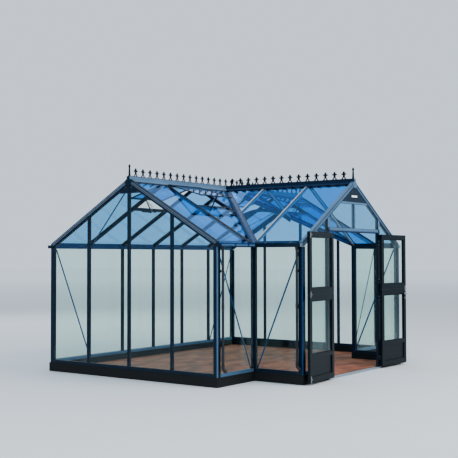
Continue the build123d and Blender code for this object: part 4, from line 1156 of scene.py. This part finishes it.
class GREENHOUSE_OT_door_furniture(bpy.types.Operator):
    """Fit roses, cylinders, bolt knobs, guides, hinge screws and pin tips to the doors"""

    bl_idname = "greenhouse.door_furniture"
    bl_label = "Door furniture"

    def execute(self, context):
        tip = mm(8.8, 0, 8.8, 2, 6.2, 3.5, 5, 6, 2, 8.5, 0.3, 9)
        jamb = Stock()
        for name, half, fittings in (("right", GROUND, self.lock), ("left", MIRROR, self.bolts)):
            place, steel = half @ SWUNG @ WING_FRONT, Stock()
            for z in HINGES:
                for x in (0.676, 0.692):
                    steel.knob(place, x, -0.004, z + 0.0092, HINGE_SCREW)
                steel.turned(half @ SWUNG @ shift(PIN_X, PIN_Y, z + 0.018), tip, 14)
                for x in (0.722, 0.738):
                    jamb.knob(half @ WING_FRONT, x, -0.004, z - 0.009, HINGE_SCREW)
                jamb.turned(half @ shift(PIN_X, PIN_Y, z - 0.018) @ turn(180, "X"), tip, 14)
            keyholes = fittings(steel, place)
            steel.piece(f"{name}_leaf_steel", "steel", f"{name}_leaf", "bright_fittings", smooth=True)
            if keyholes:
                keyholes.piece("keyholes", "rubber", f"{name}_leaf")
        jamb.piece("jamb_screws", "steel", slot="bright_fittings", smooth=True)
        return {"FINISHED"}

    def lock(self, steel, place):
        """Adds the roses, cylinders, end caps and catch of the right leaf, and gives back its keyholes."""
        x, z, keyholes = HANDLE_X, HANDLE_Z, Stock()
        for y, face, out in ((-0.004, 0, -1), (0.040, LEAF_BACK, 1)):
            steel.knob(place, x, y, z, mm(16.2, 0, 16.2, 0.6, 14, 2.4, 9.5, 3), 24, out)
            steel.knob(place, x, face, z - 0.062, mm(13, 0, 13, 2.4, 11, 4, 8.6, 4.2), 24, out)
            keyholes.box(place, x - 0.0009, x + 0.0009, face + out * 0.004, face + out * 0.0048, z - 0.067, z - 0.058)
        for low in (1.093, 1.159):
            steel.box(place, x - 0.012, x + 0.012, 0.042, 0.0455, low, low + 0.008, 0.0006)
        steel.knob(place, x, 0.042, 1.130, mm(6, 0, 4.4, 3, 4.4, 11, 7, 13, 7, 17, 4, 19), 14, 1)
        for y, out, reach in ((-0.039, -1, 0.105), (0.075, 1, 0.065)):
            steel.knob(place, x + reach, y, z, mm(4.8, 0, 4.4, 0.6, 3, 1.2), 14, out)
        return keyholes

    def bolts(self, steel, place):
        """Adds the guides, screws, knobs and rods of the left leaf's bolts."""
        knob = mm(4.5, 0, 3.2, 4, 3.2, 10, 5.8, 12, 5.8, 17, 3.6, 19)
        for low, foot in ((0.034, -0.006), (1.090, 0.004), (1.838, 0.004)):
            for z in (low + 0.012, low + 0.056):
                steel.along(place, 0.0120, 0.0300, rectangle(LEAF_BACK, 0.0445, z, z + 0.009))
                steel.knob(place, 0.0335, LEAF_BACK, z + 0.0045, HINGE_SCREW, 8, 1)
            steel.knob(place, 0.021, 0.042, low + 0.040, knob, 14, 1)
            steel.tube(place, [(0.021, 0.0395, low + foot), (0.021, 0.0395, low + 0.076)], 0.0042, 10)


class GREENHOUSE_OT_stage(bpy.types.Operator):
    """Set up the pale floor, the soft lights and the camera"""

    bl_idname = "greenhouse.stage"
    bl_label = "Stage"

    def execute(self, context):
        scene = context.scene
        stage = scene.greenhouse_stage
        mesh = Stock().box(GROUND, -90, 90, -90, 90, -0.02, -0.001).mesh("studio_floor")
        mesh.materials.append(studio_floor("studio_floor", stage.floor))
        floor = bpy.data.objects.new("studio_floor", mesh)
        scene.collection.objects.link(floor)
        for name, spot, size, share, colour in (("key", (1.0, -10.0, 8.0), 6.0, 1, (1.0, 0.98, 0.95)),
                                                ("fill", (-10.0, -4.0, 6.0), 7.0, 0.40, (0.92, 0.96, 1.0)),
                                                ("back", (4.0, 9.5, 8.0), 8.0, 0.45, (0.82, 0.91, 1.0))):
            lamp = bpy.data.lights.new(name, "AREA")
            lamp.size, lamp.energy, lamp.color = size, stage.key * share, colour
            holder = bpy.data.objects.new(name, lamp)
            holder.location = spot
            holder.rotation_euler = (Vector((0, -0.3, 1.2)) - Vector(spot)).to_track_quat("-Z", "Y").to_euler()
            scene.collection.objects.link(holder)
        scene.view_settings.look = "AgX - Medium High Contrast"
        scene.world = bpy.data.worlds.new("studio_light")
        scene.world.use_nodes = True
        sky = scene.world.node_tree.nodes["Background"].inputs
        sky["Color"].default_value, sky["Strength"].default_value = (0.78, 0.87, 1.0, 1), stage.sky
        camera_data = bpy.data.cameras.new("camera")
        camera_data.lens, camera_data.sensor_width = stage.lens, 36
        camera_data.clip_start, camera_data.clip_end = 0.1, 400
        camera = bpy.data.objects.new("camera", camera_data)
        camera.matrix_world = self.viewpoint((-11.1011, -8.05272, 1.60064), 0.624019, 0.0313211, -0.0020217)
        scene.collection.objects.link(camera)
        scene.camera = camera
        return {"FINISHED"}

    def viewpoint(self, spot, yaw, pitch, roll):
        """The camera's place, from a spot and three angles in radians."""
        forward = Vector((math.cos(pitch) * math.cos(yaw), math.cos(pitch) * math.sin(yaw), math.sin(pitch)))
        right = Vector((math.sin(yaw), -math.cos(yaw), 0))
        above = right.cross(forward)
        side = right * math.cos(roll) + above * math.sin(roll)
        place = Matrix((side, above * math.cos(roll) - right * math.sin(roll), -forward)).transposed().to_4x4()
        place.translation = spot
        return place


OPERATORS = (GREENHOUSE_OT_finishes, GREENHOUSE_OT_cresting, GREENHOUSE_OT_floor_bricks,
             GREENHOUSE_OT_glazing_seals, GREENHOUSE_OT_screws, GREENHOUSE_OT_ridge_trim,
             GREENHOUSE_OT_gutter_fittings, GREENHOUSE_OT_roof_fittings, GREENHOUSE_OT_frame_bolts,
             GREENHOUSE_OT_threshold, GREENHOUSE_OT_leaf_trim, GREENHOUSE_OT_door_furniture, GREENHOUSE_OT_stage)


class GREENHOUSE_PT_steps(bpy.types.Panel):
    """The steps that dress the greenhouse"""

    bl_idname = "GREENHOUSE_PT_steps"
    bl_label = "Greenhouse"
    bl_space_type = "VIEW_3D"
    bl_region_type = "UI"
    bl_category = "Greenhouse"

    def draw(self, context):
        scene, column = context.scene, self.layout.column()
        for group in (scene.greenhouse_finishes, scene.greenhouse_trim, scene.greenhouse_stage):
            for name in group.__annotations__:
                column.prop(group, name)
        for step in OPERATORS:
            column.operator(step.bl_idname)


CLASSES = (GreenhouseFinishes, GreenhouseTrim, GreenhouseStage, *OPERATORS, GREENHOUSE_PT_steps)


def register():
    for item in CLASSES:
        bpy.utils.register_class(item)
    bpy.types.Scene.greenhouse_finishes = PointerProperty(type=GreenhouseFinishes)
    bpy.types.Scene.greenhouse_trim = PointerProperty(type=GreenhouseTrim)
    bpy.types.Scene.greenhouse_stage = PointerProperty(type=GreenhouseStage)


def unregister():
    del bpy.types.Scene.greenhouse_stage
    del bpy.types.Scene.greenhouse_trim
    del bpy.types.Scene.greenhouse_finishes
    for item in reversed(CLASSES):
        bpy.utils.unregister_class(item)


def main():
    register()
    for step in OPERATORS:
        getattr(bpy.ops.greenhouse, step.bl_idname.partition(".")[2])()
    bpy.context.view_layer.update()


if __name__ == "__main__":
    main()
